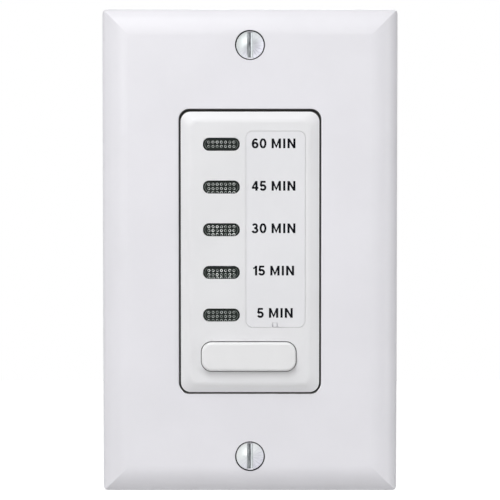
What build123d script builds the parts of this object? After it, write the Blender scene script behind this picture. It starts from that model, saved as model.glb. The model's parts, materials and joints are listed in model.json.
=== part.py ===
from build123d import *
from math import atan2, degrees, radians, tan
import os

# A countdown timer light switch for a one-gang wall box, with its screwed wall plate.
# Lengths are in millimetres. X runs to the right, Z up, and the front faces -Y.
# The wall surface is Y = 0, and the origin lies midway between the two box screws.
# "Height" is measured from the wall towards the room, "depth" from the wall into the box.

os.makedirs("parts", exist_ok=True)

# Every cut runs past its face by this much
overrun = 1.0

# Wall plate
plate_width = 69.85
plate_height = 114.3
plate_rise = 5.6
plate_wall = 1.9
plate_face = 2.2
plate_edge = 1.2
plate_roll = 6.4
plate_corner_radius = 1.6
plate_inner_roll = 4.6
roll_share = 0.68
opening_width = 33.3
opening_end_inset = 23.8
opening_radius = 2.4
opening_lip = 0.35

# Plate screws, oval heads in 82 degree countersinks
plate_screw_inset = 8.73
plate_screw_radius = 1.6
plate_screw_head_radius = 3.22
plate_screw_sink = 0.3
plate_screw_dome = 0.8
dome_bulge_share = 0.3
plate_screw_length = 12.7
plate_screw_seat_gap = 0.06
plate_screw_hole_radius = 2.0
screw_slot_width = 1.3
screw_slot_depth = 1.1
countersink_angle = 82

# Mounting strap
strap_thickness = 1.2
strap_overhang = 4.78
strap_frame_overhang = 0.83
strap_frame_radius = 2.0
strap_tongue_width = 17.0
strap_tongue_radius = 2.5
strap_window_gap = 0.5
strap_window_radius = 2.6
ear_radius = 4.6
ear_x = 12.6
ear_hole_radius = 1.2
box_slot_width = 3.9
box_slot_length = 6.6
collar_radius = 2.7
collar_depth = 1.3
thread_gap = 0.05

# Box screws, their captive washers and the earth screw
box_screw_inset = 15.48
box_screw_radius = 1.75
box_screw_neck_radius = 1.5
box_screw_head_radius = 3.5
box_screw_head_height = 1.8
box_screw_head_chamfer = 0.7
box_screw_length = 25.4
screw_tip_chamfer = 0.5
retainer_width = 9.0
retainer_height = 7.0
retainer_thickness = 0.4
retainer_gap = 0.03
earth_side_inset = 4.8
earth_end_inset = 3.5
earth_screw_radius = 1.9
earth_head_flats = 6.3
earth_head_height = 2.4
earth_screw_tip = 1.4

# Front housing: the bevelled face and what hangs behind it
bezel_side_gap = 0.4
bezel_top_gap = 0.6
bezel_bottom_gap = 0.2
bezel_radius = 2.3
bezel_edge_rise = 5.9
bevel_width = 2.1
bevel_drop = 1.1
bevel_round = 1.9
plateau_radius = 2.2
face_wall = 2.0
skirt_wall = 1.6
skirt_gap = 0.1
shoulder_ledge = 2.4
shoulder_end_ledge = 1.7
shoulder_thickness = 1.6
shoulder_radius = 3.0
boss_side_inset = 2.45
boss_end_inset = 2.65
boss_radius = 2.3

# Windows, lenses and lamps, one row for each time
window_names = ("60_min", "45_min", "30_min", "15_min", "5_min")
window_width = 8.62
window_height = 3.06
window_radius = 1.4
window_side_inset = 5.24
window_top_inset = 7.65
window_button_distance = 9.75
lens_gap = 0.06
lens_recess = 0.15
lens_flange_ledge = 0.6
lens_flange = 0.8
lens_edge_chamfer = 0.2
well_wall = 1.2
well_end_wall = 0.5
well_foot_width = 6.0
well_foot_height = 4.2
well_foot_radius = 1.0
light_box_gap = 0.15
light_box_rim_wall = 0.7
light_box_rim_drop = 2.2
light_box_foot_gap = 0.1
lamp_radius = 1.5
lamp_flange_radius = 1.9
lamp_flange = 1.0
lamp_height = 5.3
lamp_dome_share = 0.95

# Label insert
label_window_gap = 1.465
label_side_inset = 3.35
label_top_overhang = 3.05
label_bottom_overhang = 2.85
label_radius = 1.5
label_thickness = 0.9
label_gap = 0.06
label_tab_width = 4.0
label_tab_thickness = 0.9
label_tab_drop = 1.6
label_tab_inset = 2.4
label_tab_gap = 0.12
notch_width = 1.35
notch_height = 1.1
notch_shift = -0.15
notch_floor_depth = 0.6

# Push button and its guide
button_side_inset = 5.2
button_height = 6.8
button_radius = 2.4
button_shift = -0.3
button_end_inset = 8.5
button_rise = 1.2
button_crown_round = 0.7
button_gap = 0.13
button_wall = 1.2
button_play = 0.1
button_flange_ledge = 1.0
button_flange = 1.0
button_rib = 0.8
button_stem_radius = 1.6
guide_gap = 0.25
guide_wall = 0.9
guide_drop = 2.6

# Small push switch under the button
switch_width = 6.0
switch_base_height = 3.3
switch_edge_chamfer = 0.4
switch_cavity_radius = 2.3
switch_floor = 1.0
switch_cover = 0.3
switch_cover_leg = 1.6
switch_cover_leg_width = 3.0
plunger_radius = 1.75
plunger_gap = 0.12
plunger_rise = 1.2
plunger_flange_radius = 2.1
plunger_flange = 0.5
plunger_nub_radius = 0.7
plunger_play = 0.05
dome_radius = 2.1
dome_rise = 0.55
dome_sheet = 0.12
dome_crown_share = 0.5

# Circuit board
board_depth = 3.0
board_thickness = 1.6
board_gap = 0.3
board_radius = 1.5
board_boss_gap = 0.3
lead_pad_radius = 0.8

# Rear housing
body_side_ledge = 5.15
body_end_ledge = 1.95
body_depth = 30.0
body_wall = 1.7
body_radius = 3.0
body_back_round = 1.2
post_radius = 3.4
post_seat_depth = 16.0
counterbore_radius = 2.7
post_hole_radius = 1.3
rib_width = 1.2
rib_reach = 1.4
rib_spacing = 20.0
rib_count = 3
outlet_radius = 1.9
outlet_count = 3
outlet_spacing = 6.5
outlet_end_inset = 8.8
outlet_chamfer = 0.5

# Housing screws
housing_screw_radius = 1.1
housing_screw_length = 16.5
housing_screw_head_radius = 2.3
housing_screw_head_height = 1.7
housing_screw_slot_width = 0.6
housing_screw_slot_depth = 0.7
pilot_gap = 0.03
pilot_end_gap = 0.6

# Places on the board are shares of its half width and half height, from its middle
# Relay, lying along the board with its coil axis along Z
relay_x_share = 0.56
relay_z_share = -0.09
relay_width = 12.7
relay_length = 29.0
relay_height = 15.7
relay_wall = 0.8
relay_edge_round = 0.5
relay_base_height = 1.8
relay_base_gap = 0.05
relay_coil_depth = 7.6
core_radius = 1.6
core_gap = 0.05
bobbin_width = 9.6
bobbin_flange = 0.8
bobbin_tube_radius = 2.4
bobbin_bottom = -11.15
bobbin_top = 3.0
winding_radius = 4.3
yoke_width = 9.0
yoke_thickness = 1.3
yoke_leg_depth = 12.5
yoke_toe_depth = 3.0
yoke_top = 3.85
pole_top = 3.4
armature_face = 3.9
armature_thickness = 1.2
armature_width = 8.0
armature_tip_depth = 3.3
moving_spring_sheet = 0.3
moving_spring_width = 5.0
moving_spring_tip_depth = 7.0
moving_spring_reach = 12.5
contact_radius = 1.5
contact_height = 0.7
contact_travel = 0.65
contact_z = 10.7
fixed_contact_face_depth = 12.0
fixed_blade = 0.6
fixed_blade_width = 5.0
fixed_blade_z = 12.75

# Supply and timer circuit
film_capacitor_x_share = -0.72
film_capacitor_z_share = -0.24
film_capacitor_width = 7.0
film_capacitor_length = 18.0
film_capacitor_height = 14.5
film_capacitor_round = 0.8
main_electrolytic_x_share = -0.69
main_electrolytic_z_share = 0.37
main_electrolytic_radius = 5.0
main_electrolytic_height = 16.0
small_electrolytic_x_share = -0.17
small_electrolytic_z_share = 0.46
small_electrolytic_radius = 3.15
small_electrolytic_height = 11.0
electrolytic_groove = 0.35
electrolytic_groove_share = 0.12
electrolytic_chamfer = 0.5
varistor_x_share = 0.02
varistor_z_share = -0.67
varistor_radius = 5.25
varistor_thickness = 4.5
varistor_chamfer = 1.2
varistor_standoff = 1.5
varistor_lead_spacing = 7.5
varistor_lead_radius = 0.4
resistor_x_share = 0.05
resistor_z_share = 0.68
resistor_length = 11.0
resistor_radius = 1.9
resistor_end_radius = 2.2
resistor_end_length = 2.2
resistor_lead_span = 15.5
diode_x_share = -0.16
diode_middle_z_share = -0.21
diode_pitch = 4.5
diode_count = 4
diode_length = 5.2
diode_radius = 1.35
diode_band_length = 1.0
diode_lead_span = 10.2
lead_radius = 0.4
lead_standoff_gap = 0.4
controller_x_share = 0.42
controller_z_share = 0.42
controller_width = 3.9
controller_length = 10.0
controller_height = 1.5
controller_standoff = 0.15
controller_pin_count = 8
controller_pin_pitch = 1.2
controller_pin_width = 0.42
controller_pin_sheet = 0.2
controller_pin_reach = 1.05
controller_foot = 0.55
crystal_x_share = 0.42
crystal_z_share = -0.06
crystal_length = 10.8
crystal_width = 4.6
crystal_height = 3.4
crystal_flange_ledge = 0.35
crystal_flange = 0.4
crystal_chamfer = 0.5

# Sizes that follow from the ones above
plate_screw_spacing = plate_height - 2 * plate_screw_inset
countersink_slope = tan(radians(countersink_angle / 2))
box_screw_spacing = plate_height - 2 * box_screw_inset
opening_height = plate_height - 2 * opening_end_inset
body_width = opening_width + 2 * body_side_ledge
body_height = opening_height + 2 * body_end_ledge
strap_length = plate_screw_spacing + 2 * strap_overhang
strap_frame_width = body_width
strap_frame_height = box_screw_spacing + 2 * strap_frame_overhang
earth_screw_x = earth_side_inset - strap_frame_width / 2
earth_screw_z = earth_end_inset - strap_frame_height / 2
face_rise = bezel_edge_rise + bevel_drop
face_back = face_rise - face_wall
bezel_width = opening_width - 2 * bezel_side_gap
bezel_height = opening_height - bezel_top_gap - bezel_bottom_gap
bezel_z = (bezel_bottom_gap - bezel_top_gap) / 2
boss_x = bezel_width / 2 - boss_side_inset
boss_z = bezel_height / 2 - boss_end_inset
skirt_foot = skirt_gap - board_depth
board_front = -board_depth
board_back = -board_depth - board_thickness
button_width = bezel_width - 2 * button_side_inset
button_x = button_shift
button_z = bezel_z - bezel_height / 2 + button_end_inset
window_x = window_side_inset + window_width / 2 - bezel_width / 2
top_window_z = bezel_z + bezel_height / 2 - window_top_inset
bottom_window_z = button_z + window_button_distance
window_middle_z = (top_window_z + bottom_window_z) / 2
window_count = len(window_names)
window_pitch = (top_window_z - bottom_window_z) / (window_count - 1)
window_rows = [top_window_z - row * window_pitch for row in range(window_count)]
label_left = window_x + window_width / 2 + label_window_gap
label_right = bezel_width / 2 - label_side_inset
label_top = top_window_z + label_top_overhang
label_bottom = bottom_window_z - label_bottom_overhang
label_width = label_right - label_left
label_height = label_top - label_bottom
label_x = (label_left + label_right) / 2
label_z = (label_bottom + label_top) / 2
light_box_top = face_back - lens_flange
light_box_width = window_width + 2 * (lens_flange_ledge + well_wall)
light_box_height = (window_count - 1) * window_pitch + window_height + 2 * (lens_flange_ledge + well_end_wall)
body_inner_width = body_width - 2 * body_wall
body_inner_height = body_height - 2 * body_wall
half_width = body_inner_width / 2
half_height = body_inner_height / 2
outlet_z = outlet_end_inset - body_height / 2
relay_x = half_width * relay_x_share
relay_z = half_height * relay_z_share
varistor_x = half_width * varistor_x_share
varistor_z = half_height * varistor_z_share
film_capacitor_x = half_width * film_capacitor_x_share
film_capacitor_z = half_height * film_capacitor_z_share
controller_x = half_width * controller_x_share
controller_z = half_height * controller_z_share
crystal_x = half_width * crystal_x_share
crystal_z = half_height * crystal_z_share
button_flange_top = face_back - button_play
switch_top = board_front + switch_base_height + switch_cover
plunger_top = switch_top + plunger_rise
button_stem_foot = plunger_top + plunger_play


def at_height(height):
    """The plane parallel to the wall at this height, its normal towards the room."""
    return Plane.XZ.offset(height)


def along_at(x):
    """The side-view plane at this X: its local X is Z, and its local Y is the height."""
    return Plane(origin=(x, 0, 0), x_dir=(0, 0, 1), z_dir=(1, 0, 0))


def across_at(z):
    """The plan-view plane at this Z: its local X is X, and its local Y is the height."""
    return Plane(origin=(0, 0, z), x_dir=(1, 0, 0), z_dir=(0, 0, -1))


def rolled_profile(span, rise, edge, roll):
    """Section of a plate: a short straight edge, then a tight and a wide arc up to the flat face."""
    half = span / 2
    drop = rise - edge
    tight = drop * roll_share
    wide = (roll**2 + drop**2 - 2 * roll * tight) / (2 * (drop - tight))
    join = degrees(atan2(wide - drop, roll - tight))
    with BuildLine() as outline:
        Polyline((-half, edge), (-half, 0), (half, 0), (half, edge))
        CenterArc((half - tight, edge), tight, 0, join)
        CenterArc((half - roll, rise - wide), wide, join, 90 - join)
        Line((half - roll, rise), (roll - half, rise))
        CenterArc((roll - half, rise - wide), wide, 90, 90 - join)
        CenterArc((tight - half, edge), tight, 180 - join, join)
    make_face(outline.edges())


def rolled_block(width, height, rise, edge, roll, corner_radius):
    """A block whose front rolls off on all four sides, with mitre creases at the corners."""
    with BuildPart() as block:
        with BuildSketch(across_at(height / 2)):
            rolled_profile(width, rise, edge, roll)
        extrude(amount=height)
        with BuildSketch(along_at(-width / 2)):
            rolled_profile(height, rise, edge, roll)
        extrude(amount=width, mode=Mode.INTERSECT)
        with BuildSketch(at_height(0)):
            RectangleRounded(width, height, corner_radius)
        extrude(amount=rise, mode=Mode.INTERSECT)
    return block.part


def electrolytic(x, z, radius, height):
    """A can capacitor standing on the board's back, with the rolled groove near its foot."""
    groove = height * electrolytic_groove_share
    with BuildPart() as can:
        with BuildSketch(at_height(board_back)):
            with Locations((x, z)):
                Circle(radius)
        extrude(amount=-height)
        chamfer(can.faces().sort_by(Axis.Y)[-1].edges(), electrolytic_chamfer)
        with BuildSketch(at_height(board_back - groove)):
            with Locations((x, z)):
                Circle(radius)
                Circle(radius - electrolytic_groove, mode=Mode.SUBTRACT)
        extrude(amount=-groove, mode=Mode.SUBTRACT)
    return can.part


def axial_component(x, z, standoff, span, length, radius, cap_length, cap_radius):
    """A wire bent down to the board at both ends, with a round body that may have thicker end caps."""
    foot = board_back
    with BuildPart() as component:
        with BuildLine(across_at(z)) as wire:
            Polyline(
                (x - span / 2, foot),
                (x - span / 2, foot - standoff),
                (x + span / 2, foot - standoff),
                (x + span / 2, foot),
            )
        with BuildSketch(Plane(origin=wire.line @ 0, z_dir=wire.line % 0)):
            Circle(lead_radius)
        sweep(transition=Transition.RIGHT)
        middle = Plane(origin=(x, standoff - foot, z), z_dir=(1, 0, 0))
        with BuildSketch(middle):
            Circle(radius)
        extrude(amount=length / 2, both=True)
        with BuildSketch(middle.offset(-length / 2), middle.offset(length / 2 - cap_length)):
            Circle(cap_radius)
        extrude(amount=cap_length)
    return component.part


# Wall plate: a rolled-off shell with the timer's opening and two countersunk screw holes
plate_block = rolled_block(
    plate_width, plate_height, plate_rise, plate_edge, plate_roll, plate_corner_radius
)
plate_hollow = rolled_block(
    plate_width - 2 * plate_wall,
    plate_height - 2 * plate_wall,
    plate_rise - plate_face,
    plate_edge,
    plate_inner_roll,
    plate_corner_radius,
)
with BuildPart() as wall_plate:
    add(plate_block)
    add(plate_hollow, mode=Mode.SUBTRACT)
    with BuildSketch(at_height(0)):
        RectangleRounded(opening_width, opening_height, opening_radius)
    extrude(amount=plate_rise + overrun, mode=Mode.SUBTRACT)
    front_face = wall_plate.faces().filter_by(Axis.Y).sort_by(Axis.Y)[0]
    fillet(front_face.inner_wires().edges(), opening_lip)
    with Locations(at_height(plate_rise)):
        with GridLocations(plate_screw_spacing, plate_screw_spacing, 1, 2):
            CounterSinkHole(
                plate_screw_hole_radius,
                plate_screw_head_radius + plate_screw_seat_gap + plate_screw_sink * countersink_slope,
                counter_sink_angle=countersink_angle,
            )
wall_plate.part.label = "wall_plate"
export_step(wall_plate.part, "parts/wall_plate.step")

# Plate screws: slotted oval heads, their slots upright, threaded into the strap's collars
plate_screw_ends = plate_rise - plate_screw_length
head_rim = plate_rise - plate_screw_sink
head_cone_depth = (plate_screw_head_radius - plate_screw_radius) / countersink_slope
with BuildPart() as plate_screw:
    with BuildSketch(across_at(0)):
        with BuildLine():
            Polyline(
                (0, head_rim + plate_screw_dome),
                (0, plate_screw_ends),
                (plate_screw_radius - screw_tip_chamfer, plate_screw_ends),
                (plate_screw_radius, plate_screw_ends + screw_tip_chamfer),
                (plate_screw_radius, head_rim - head_cone_depth),
                (plate_screw_head_radius, head_rim),
            )
            SagittaArc(
                (plate_screw_head_radius, head_rim),
                (0, head_rim + plate_screw_dome),
                plate_screw_dome * dome_bulge_share,
            )
        make_face()
    revolve(axis=Axis.Y)
    with BuildSketch(at_height(head_rim + plate_screw_dome)):
        Rectangle(screw_slot_width, 2 * plate_screw_head_radius + overrun)
    extrude(amount=-screw_slot_depth, mode=Mode.SUBTRACT)
with BuildPart() as plate_screws:
    with Locations((0, 0, plate_screw_spacing / 2), (0, 0, -plate_screw_spacing / 2)):
        add(plate_screw.part)
plate_screws.part.label = "plate_screws"
export_step(plate_screws.part, "parts/plate_screws.step")

# Mounting strap: a frame round the timer's face, and a slotted, eared tongue at each end
with BuildPart() as mounting_strap:
    with BuildSketch(at_height(0)):
        RectangleRounded(strap_frame_width, strap_frame_height, strap_frame_radius)
        RectangleRounded(strap_tongue_width, strap_length, strap_tongue_radius)
        with GridLocations(2 * ear_x, plate_screw_spacing, 2, 2):
            Circle(ear_radius)
            Circle(ear_hole_radius, mode=Mode.SUBTRACT)
        with Locations((0, bezel_z)):
            RectangleRounded(
                bezel_width + 2 * strap_window_gap,
                bezel_height + 2 * strap_window_gap,
                strap_window_radius,
                mode=Mode.SUBTRACT,
            )
        with GridLocations(box_screw_spacing, box_screw_spacing, 1, 2):
            SlotOverall(box_slot_length, box_slot_width, mode=Mode.SUBTRACT)
        with Locations((earth_screw_x, earth_screw_z)):
            Circle(earth_screw_radius + thread_gap, mode=Mode.SUBTRACT)
    extrude(amount=strap_thickness)
    with BuildSketch(at_height(0)):
        with GridLocations(plate_screw_spacing, plate_screw_spacing, 1, 2):
            Circle(collar_radius)
    extrude(amount=-collar_depth)
    with Locations(at_height(strap_thickness)):
        with GridLocations(plate_screw_spacing, plate_screw_spacing, 1, 2):
            Hole(plate_screw_radius + thread_gap)
mounting_strap.part.label = "mounting_strap"
export_step(mounting_strap.part, "parts/mounting_strap.step")

# Box screws: pan heads on the strap, necked where the strap and the captive washer hold them
box_screw_tip = strap_thickness - box_screw_length
neck_end = -retainer_thickness - thread_gap
with BuildPart() as box_screw:
    with BuildSketch(across_at(0)):
        Polygon(
            (0, strap_thickness + box_screw_head_height),
            (0, box_screw_tip),
            (box_screw_radius - screw_tip_chamfer, box_screw_tip),
            (box_screw_radius, box_screw_tip + screw_tip_chamfer),
            (box_screw_radius, neck_end),
            (box_screw_neck_radius, neck_end),
            (box_screw_neck_radius, strap_thickness),
            (box_screw_head_radius, strap_thickness),
            (box_screw_head_radius, strap_thickness + box_screw_head_height),
            align=None,
        )
    revolve(axis=Axis.Y)
    chamfer(box_screw.edges().filter_by(GeomType.CIRCLE).sort_by(Axis.Y)[0], box_screw_head_chamfer)
    with BuildSketch(at_height(strap_thickness + box_screw_head_height)):
        Rectangle(screw_slot_width, 2 * box_screw_head_radius + overrun)
    extrude(amount=-screw_slot_depth, mode=Mode.SUBTRACT)
with BuildPart() as box_screws:
    with Locations((0, 0, box_screw_spacing / 2), (0, 0, -box_screw_spacing / 2)):
        add(box_screw.part)
box_screws.part.label = "box_screws"
export_step(box_screws.part, "parts/box_screws.step")

# Screw retainers: fibre washers that grip the necks behind the strap
with BuildPart() as screw_retainers:
    with BuildSketch(at_height(0)):
        with GridLocations(box_screw_spacing, box_screw_spacing, 1, 2):
            RectangleRounded(retainer_width, retainer_height, retainer_height / 2 - retainer_thickness)
            Circle(box_screw_neck_radius + retainer_gap, mode=Mode.SUBTRACT)
    extrude(amount=-retainer_thickness)
screw_retainers.part.label = "screw_retainers"
export_step(screw_retainers.part, "parts/screw_retainers.step")

# Earth screw: a slotted hexagon head behind the strap, its tip through to the front
with BuildPart() as ground_screw:
    with BuildSketch(at_height(0)):
        with Locations((earth_screw_x, earth_screw_z)):
            RegularPolygon(earth_head_flats / 2, 6, major_radius=False)
    extrude(amount=-earth_head_height)
    with BuildSketch(at_height(0)):
        with Locations((earth_screw_x, earth_screw_z)):
            Circle(earth_screw_radius)
    extrude(amount=strap_thickness + earth_screw_tip)
    chamfer(ground_screw.faces().sort_by(Axis.Y)[0].edges(), screw_tip_chamfer)
    with BuildSketch(at_height(-earth_head_height)):
        with Locations((earth_screw_x, earth_screw_z)):
            Rectangle(earth_head_flats + 2 * overrun, screw_slot_width)
    extrude(amount=screw_slot_depth, mode=Mode.SUBTRACT)
ground_screw.part.label = "ground_screw"
export_step(ground_screw.part, "parts/ground_screw.step")

# Front housing: the bevelled face, its skirt through the strap, and the bosses and guides behind
with BuildPart() as front_housing:
    with BuildSketch(at_height(skirt_foot)):
        with Locations((0, bezel_z)):
            RectangleRounded(bezel_width, bezel_height, bezel_radius)
    extrude(amount=bezel_edge_rise - skirt_foot)
    with BuildSketch(at_height(bezel_edge_rise)):
        with Locations((0, bezel_z)):
            RectangleRounded(bezel_width, bezel_height, bezel_radius)
    with BuildSketch(at_height(face_rise)):
        with Locations((0, bezel_z)):
            RectangleRounded(bezel_width - 2 * bevel_width, bezel_height - 2 * bevel_width, plateau_radius)
    loft()
    fillet(front_housing.faces().sort_by(Axis.Y)[0].edges(), bevel_round)
    with BuildSketch(at_height(strap_thickness)):
        with Locations((0, bezel_z)):
            RectangleRounded(
                bezel_width + 2 * shoulder_ledge, bezel_height + 2 * shoulder_end_ledge, shoulder_radius
            )
    extrude(amount=shoulder_thickness)
    with BuildSketch(at_height(skirt_foot)):
        with Locations((0, bezel_z)):
            RectangleRounded(
                bezel_width - 2 * skirt_wall, bezel_height - 2 * skirt_wall, bezel_radius - skirt_wall
            )
    extrude(amount=face_back - skirt_foot, mode=Mode.SUBTRACT)
    # Screw bosses down to the posts of the rear housing
    with BuildSketch(at_height(board_back)):
        with GridLocations(2 * boss_x, 2 * boss_z, 2, 2):
            Circle(boss_radius)
    extrude(amount=face_back - board_back)
    with BuildSketch(at_height(board_back)):
        with GridLocations(2 * boss_x, 2 * boss_z, 2, 2):
            Circle(housing_screw_radius + pilot_gap)
    extrude(amount=housing_screw_length - (post_seat_depth + board_back) + pilot_end_gap, mode=Mode.SUBTRACT)
    # Rim that locates the light box
    with BuildSketch(at_height(face_back)):
        with Locations((window_x, window_middle_z)):
            Rectangle(
                light_box_width + 2 * (light_box_gap + light_box_rim_wall),
                light_box_height + 2 * (light_box_gap + light_box_rim_wall),
            )
            Rectangle(
                light_box_width + 2 * light_box_gap,
                light_box_height + 2 * light_box_gap,
                mode=Mode.SUBTRACT,
            )
    extrude(amount=-light_box_rim_drop)
    # Guide walls round the button's flange
    flange_width = button_width + 2 * button_flange_ledge
    flange_height = button_height + 2 * button_flange_ledge
    flange_radius = button_radius + button_flange_ledge
    with BuildSketch(at_height(face_back)):
        with Locations((button_x, button_z)):
            RectangleRounded(
                flange_width + 2 * (guide_gap + guide_wall),
                flange_height + 2 * (guide_gap + guide_wall),
                flange_radius + guide_gap + guide_wall,
            )
            RectangleRounded(
                flange_width + 2 * guide_gap,
                flange_height + 2 * guide_gap,
                flange_radius + guide_gap,
                mode=Mode.SUBTRACT,
            )
    extrude(amount=-guide_drop)
    # Windows, button opening, and the label's pocket with its two tab slots
    with BuildSketch(at_height(face_back)):
        for row_z in window_rows:
            with Locations((window_x, row_z)):
                RectangleRounded(window_width, window_height, window_radius)
        with Locations((button_x, button_z)):
            RectangleRounded(
                button_width + 2 * button_gap, button_height + 2 * button_gap, button_radius + button_gap
            )
        with Locations((label_x, label_z)):
            with GridLocations(label_height, label_height - 2 * label_tab_inset, 1, 2):
                Rectangle(label_tab_width + 2 * label_tab_gap, label_tab_thickness + 2 * label_tab_gap)
    extrude(amount=face_wall + overrun, mode=Mode.SUBTRACT)
    with BuildSketch(at_height(face_rise - label_thickness)):
        with Locations((label_x, label_z)):
            RectangleRounded(label_width + 2 * label_gap, label_height + 2 * label_gap, label_radius + label_gap)
    extrude(amount=label_thickness + overrun, mode=Mode.SUBTRACT)
front_housing.part.label = "front_housing"
export_step(front_housing.part, "parts/front_housing.step")

# Label insert: a thin flush plate with two tabs behind and a ramp in its lower edge to pry it out
with BuildPart() as label_insert:
    with BuildSketch(at_height(face_rise)):
        with Locations((label_x, label_z)):
            RectangleRounded(label_width, label_height, label_radius)
    extrude(amount=-label_thickness)
    with BuildSketch(at_height(face_rise - label_thickness)):
        with Locations((label_x, label_z)):
            with GridLocations(label_height, label_height - 2 * label_tab_inset, 1, 2):
                Rectangle(label_tab_width, label_tab_thickness)
    extrude(amount=-label_tab_drop)
    label_foot = label_z - label_height / 2
    with BuildSketch(along_at(label_x + notch_shift)):
        Polygon(
            (label_foot + notch_height, face_rise),
            (label_foot, face_rise - notch_floor_depth),
            (label_foot - notch_height, face_rise - notch_floor_depth),
            (label_foot - notch_height, face_rise + overrun),
            (label_foot + notch_height, face_rise + overrun),
            align=None,
        )
    extrude(amount=notch_width / 2, both=True, mode=Mode.SUBTRACT)
label_insert.part.label = "label_insert"
export_step(label_insert.part, "parts/label_insert.step")

# Lenses: smoked windows pushed in from behind, each with a flange that stops it
for lens_name, row_z in zip(window_names, window_rows):
    with BuildPart() as lens:
        with BuildSketch(at_height(light_box_top)):
            with Locations((window_x, row_z)):
                RectangleRounded(
                    window_width + 2 * lens_flange_ledge,
                    window_height + 2 * lens_flange_ledge,
                    window_radius + lens_flange_ledge,
                )
        extrude(amount=lens_flange)
        with BuildSketch(at_height(face_back)):
            with Locations((window_x, row_z)):
                RectangleRounded(
                    window_width - 2 * lens_gap, window_height - 2 * lens_gap, window_radius - lens_gap
                )
        extrude(amount=face_wall - lens_recess)
        chamfer(lens.faces().sort_by(Axis.Y)[0].edges(), lens_edge_chamfer)
    lens.part.label = "lens_" + lens_name
    export_step(lens.part, "parts/lens_" + lens_name + ".step")

# Light box: five tapered wells that keep each lamp's light behind its own window
with BuildPart() as light_box:
    light_box_foot = board_front + light_box_foot_gap
    with BuildSketch(at_height(light_box_foot)):
        with Locations((window_x, window_middle_z)):
            Rectangle(light_box_width, light_box_height)
    extrude(amount=light_box_top - light_box_foot)
    for row_z in window_rows:
        with BuildSketch(at_height(light_box_foot)):
            with Locations((window_x, row_z)):
                RectangleRounded(well_foot_width, well_foot_height, well_foot_radius)
        with BuildSketch(at_height(light_box_top)):
            with Locations((window_x, row_z)):
                RectangleRounded(window_width, window_height, window_radius)
        loft(mode=Mode.SUBTRACT)
light_box.part.label = "light_box"
export_step(light_box.part, "parts/light_box.step")

# Lamps: one round light-emitting diode on the board behind each window
for lamp_name, row_z in zip(window_names, window_rows):
    with BuildPart() as lamp:
        with BuildSketch(at_height(board_front)):
            with Locations((window_x, row_z)):
                Circle(lamp_flange_radius)
        extrude(amount=lamp_flange)
        with BuildSketch(at_height(board_front)):
            with Locations((window_x, row_z)):
                Circle(lamp_radius)
        extrude(amount=lamp_height)
        fillet(lamp.faces().sort_by(Axis.Y)[0].edges(), lamp_radius * lamp_dome_share)
    lamp.part.label = "led_" + lamp_name
    export_step(lamp.part, "parts/led_" + lamp_name + ".step")

# Push button: a hollow cap with a retaining flange, cross ribs and a stem to the push switch
with BuildPart() as push_button:
    button_front = face_rise + button_rise
    button_foot = button_flange_top - button_flange
    button_ceiling = button_front - button_wall
    with BuildSketch(at_height(button_foot)):
        with Locations((button_x, button_z)):
            RectangleRounded(button_width, button_height, button_radius)
    extrude(amount=button_front - button_foot)
    fillet(push_button.faces().sort_by(Axis.Y)[0].edges(), button_crown_round)
    with BuildSketch(at_height(button_foot)):
        with Locations((button_x, button_z)):
            RectangleRounded(flange_width, flange_height, flange_radius)
    extrude(amount=button_flange)
    with BuildSketch(at_height(button_foot)):
        with Locations((button_x, button_z)):
            RectangleRounded(
                button_width - 2 * button_wall, button_height - 2 * button_wall, button_radius - button_wall
            )
            Rectangle(button_rib, button_height, mode=Mode.SUBTRACT)
            Rectangle(button_width, button_rib, mode=Mode.SUBTRACT)
    extrude(amount=button_ceiling - button_foot, mode=Mode.SUBTRACT)
    with BuildSketch(at_height(button_stem_foot)):
        with Locations((button_x, button_z)):
            Circle(button_stem_radius)
    extrude(amount=button_ceiling - button_stem_foot)
push_button.part.label = "push_button"
export_step(push_button.part, "parts/push_button.step")

# Push switch: a square base with a round cavity, and a sheet cover with two side legs
with BuildPart() as tact_switch_base:
    with BuildSketch(at_height(board_front)):
        with Locations((button_x, button_z)):
            Rectangle(switch_width, switch_width)
    extrude(amount=switch_base_height)
    chamfer(tact_switch_base.edges().filter_by(Axis.Y), switch_edge_chamfer)
    with BuildSketch(at_height(board_front + switch_floor)):
        with Locations((button_x, button_z)):
            Circle(switch_cavity_radius)
    extrude(amount=switch_base_height, mode=Mode.SUBTRACT)
tact_switch_base.part.label = "tact_switch_base"
export_step(tact_switch_base.part, "parts/tact_switch_base.step")

with BuildPart() as tact_switch_cover:
    with BuildSketch(at_height(board_front + switch_base_height)):
        with Locations((button_x, button_z)):
            Rectangle(switch_width, switch_width)
            Circle(plunger_radius + plunger_gap, mode=Mode.SUBTRACT)
    extrude(amount=switch_cover)
    with BuildSketch(at_height(switch_top)):
        with Locations((button_x, button_z)):
            with GridLocations(switch_width + switch_cover, switch_width, 2, 1):
                Rectangle(switch_cover, switch_cover_leg_width)
    extrude(amount=-switch_cover_leg)
tact_switch_cover.part.label = "tact_switch_cover"
export_step(tact_switch_cover.part, "parts/tact_switch_cover.step")

# Plunger: its flange is trapped under the cover, and its nub stands on the snap dome
plunger_flange_top = board_front + switch_base_height - plunger_play
dome_foot = board_front + switch_floor
nub_foot = dome_foot + dome_rise + plunger_play
with BuildPart() as tact_switch_plunger:
    with BuildSketch(at_height(plunger_flange_top - plunger_flange)):
        with Locations((button_x, button_z)):
            Circle(plunger_flange_radius)
    extrude(amount=plunger_flange)
    with BuildSketch(at_height(nub_foot)):
        with Locations((button_x, button_z)):
            Circle(plunger_nub_radius)
    extrude(amount=plunger_flange_top - nub_foot)
    with BuildSketch(at_height(plunger_flange_top)):
        with Locations((button_x, button_z)):
            Circle(plunger_radius)
    extrude(amount=plunger_top - plunger_flange_top)
tact_switch_plunger.part.label = "tact_switch_plunger"
export_step(tact_switch_plunger.part, "parts/tact_switch_plunger.step")

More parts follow.
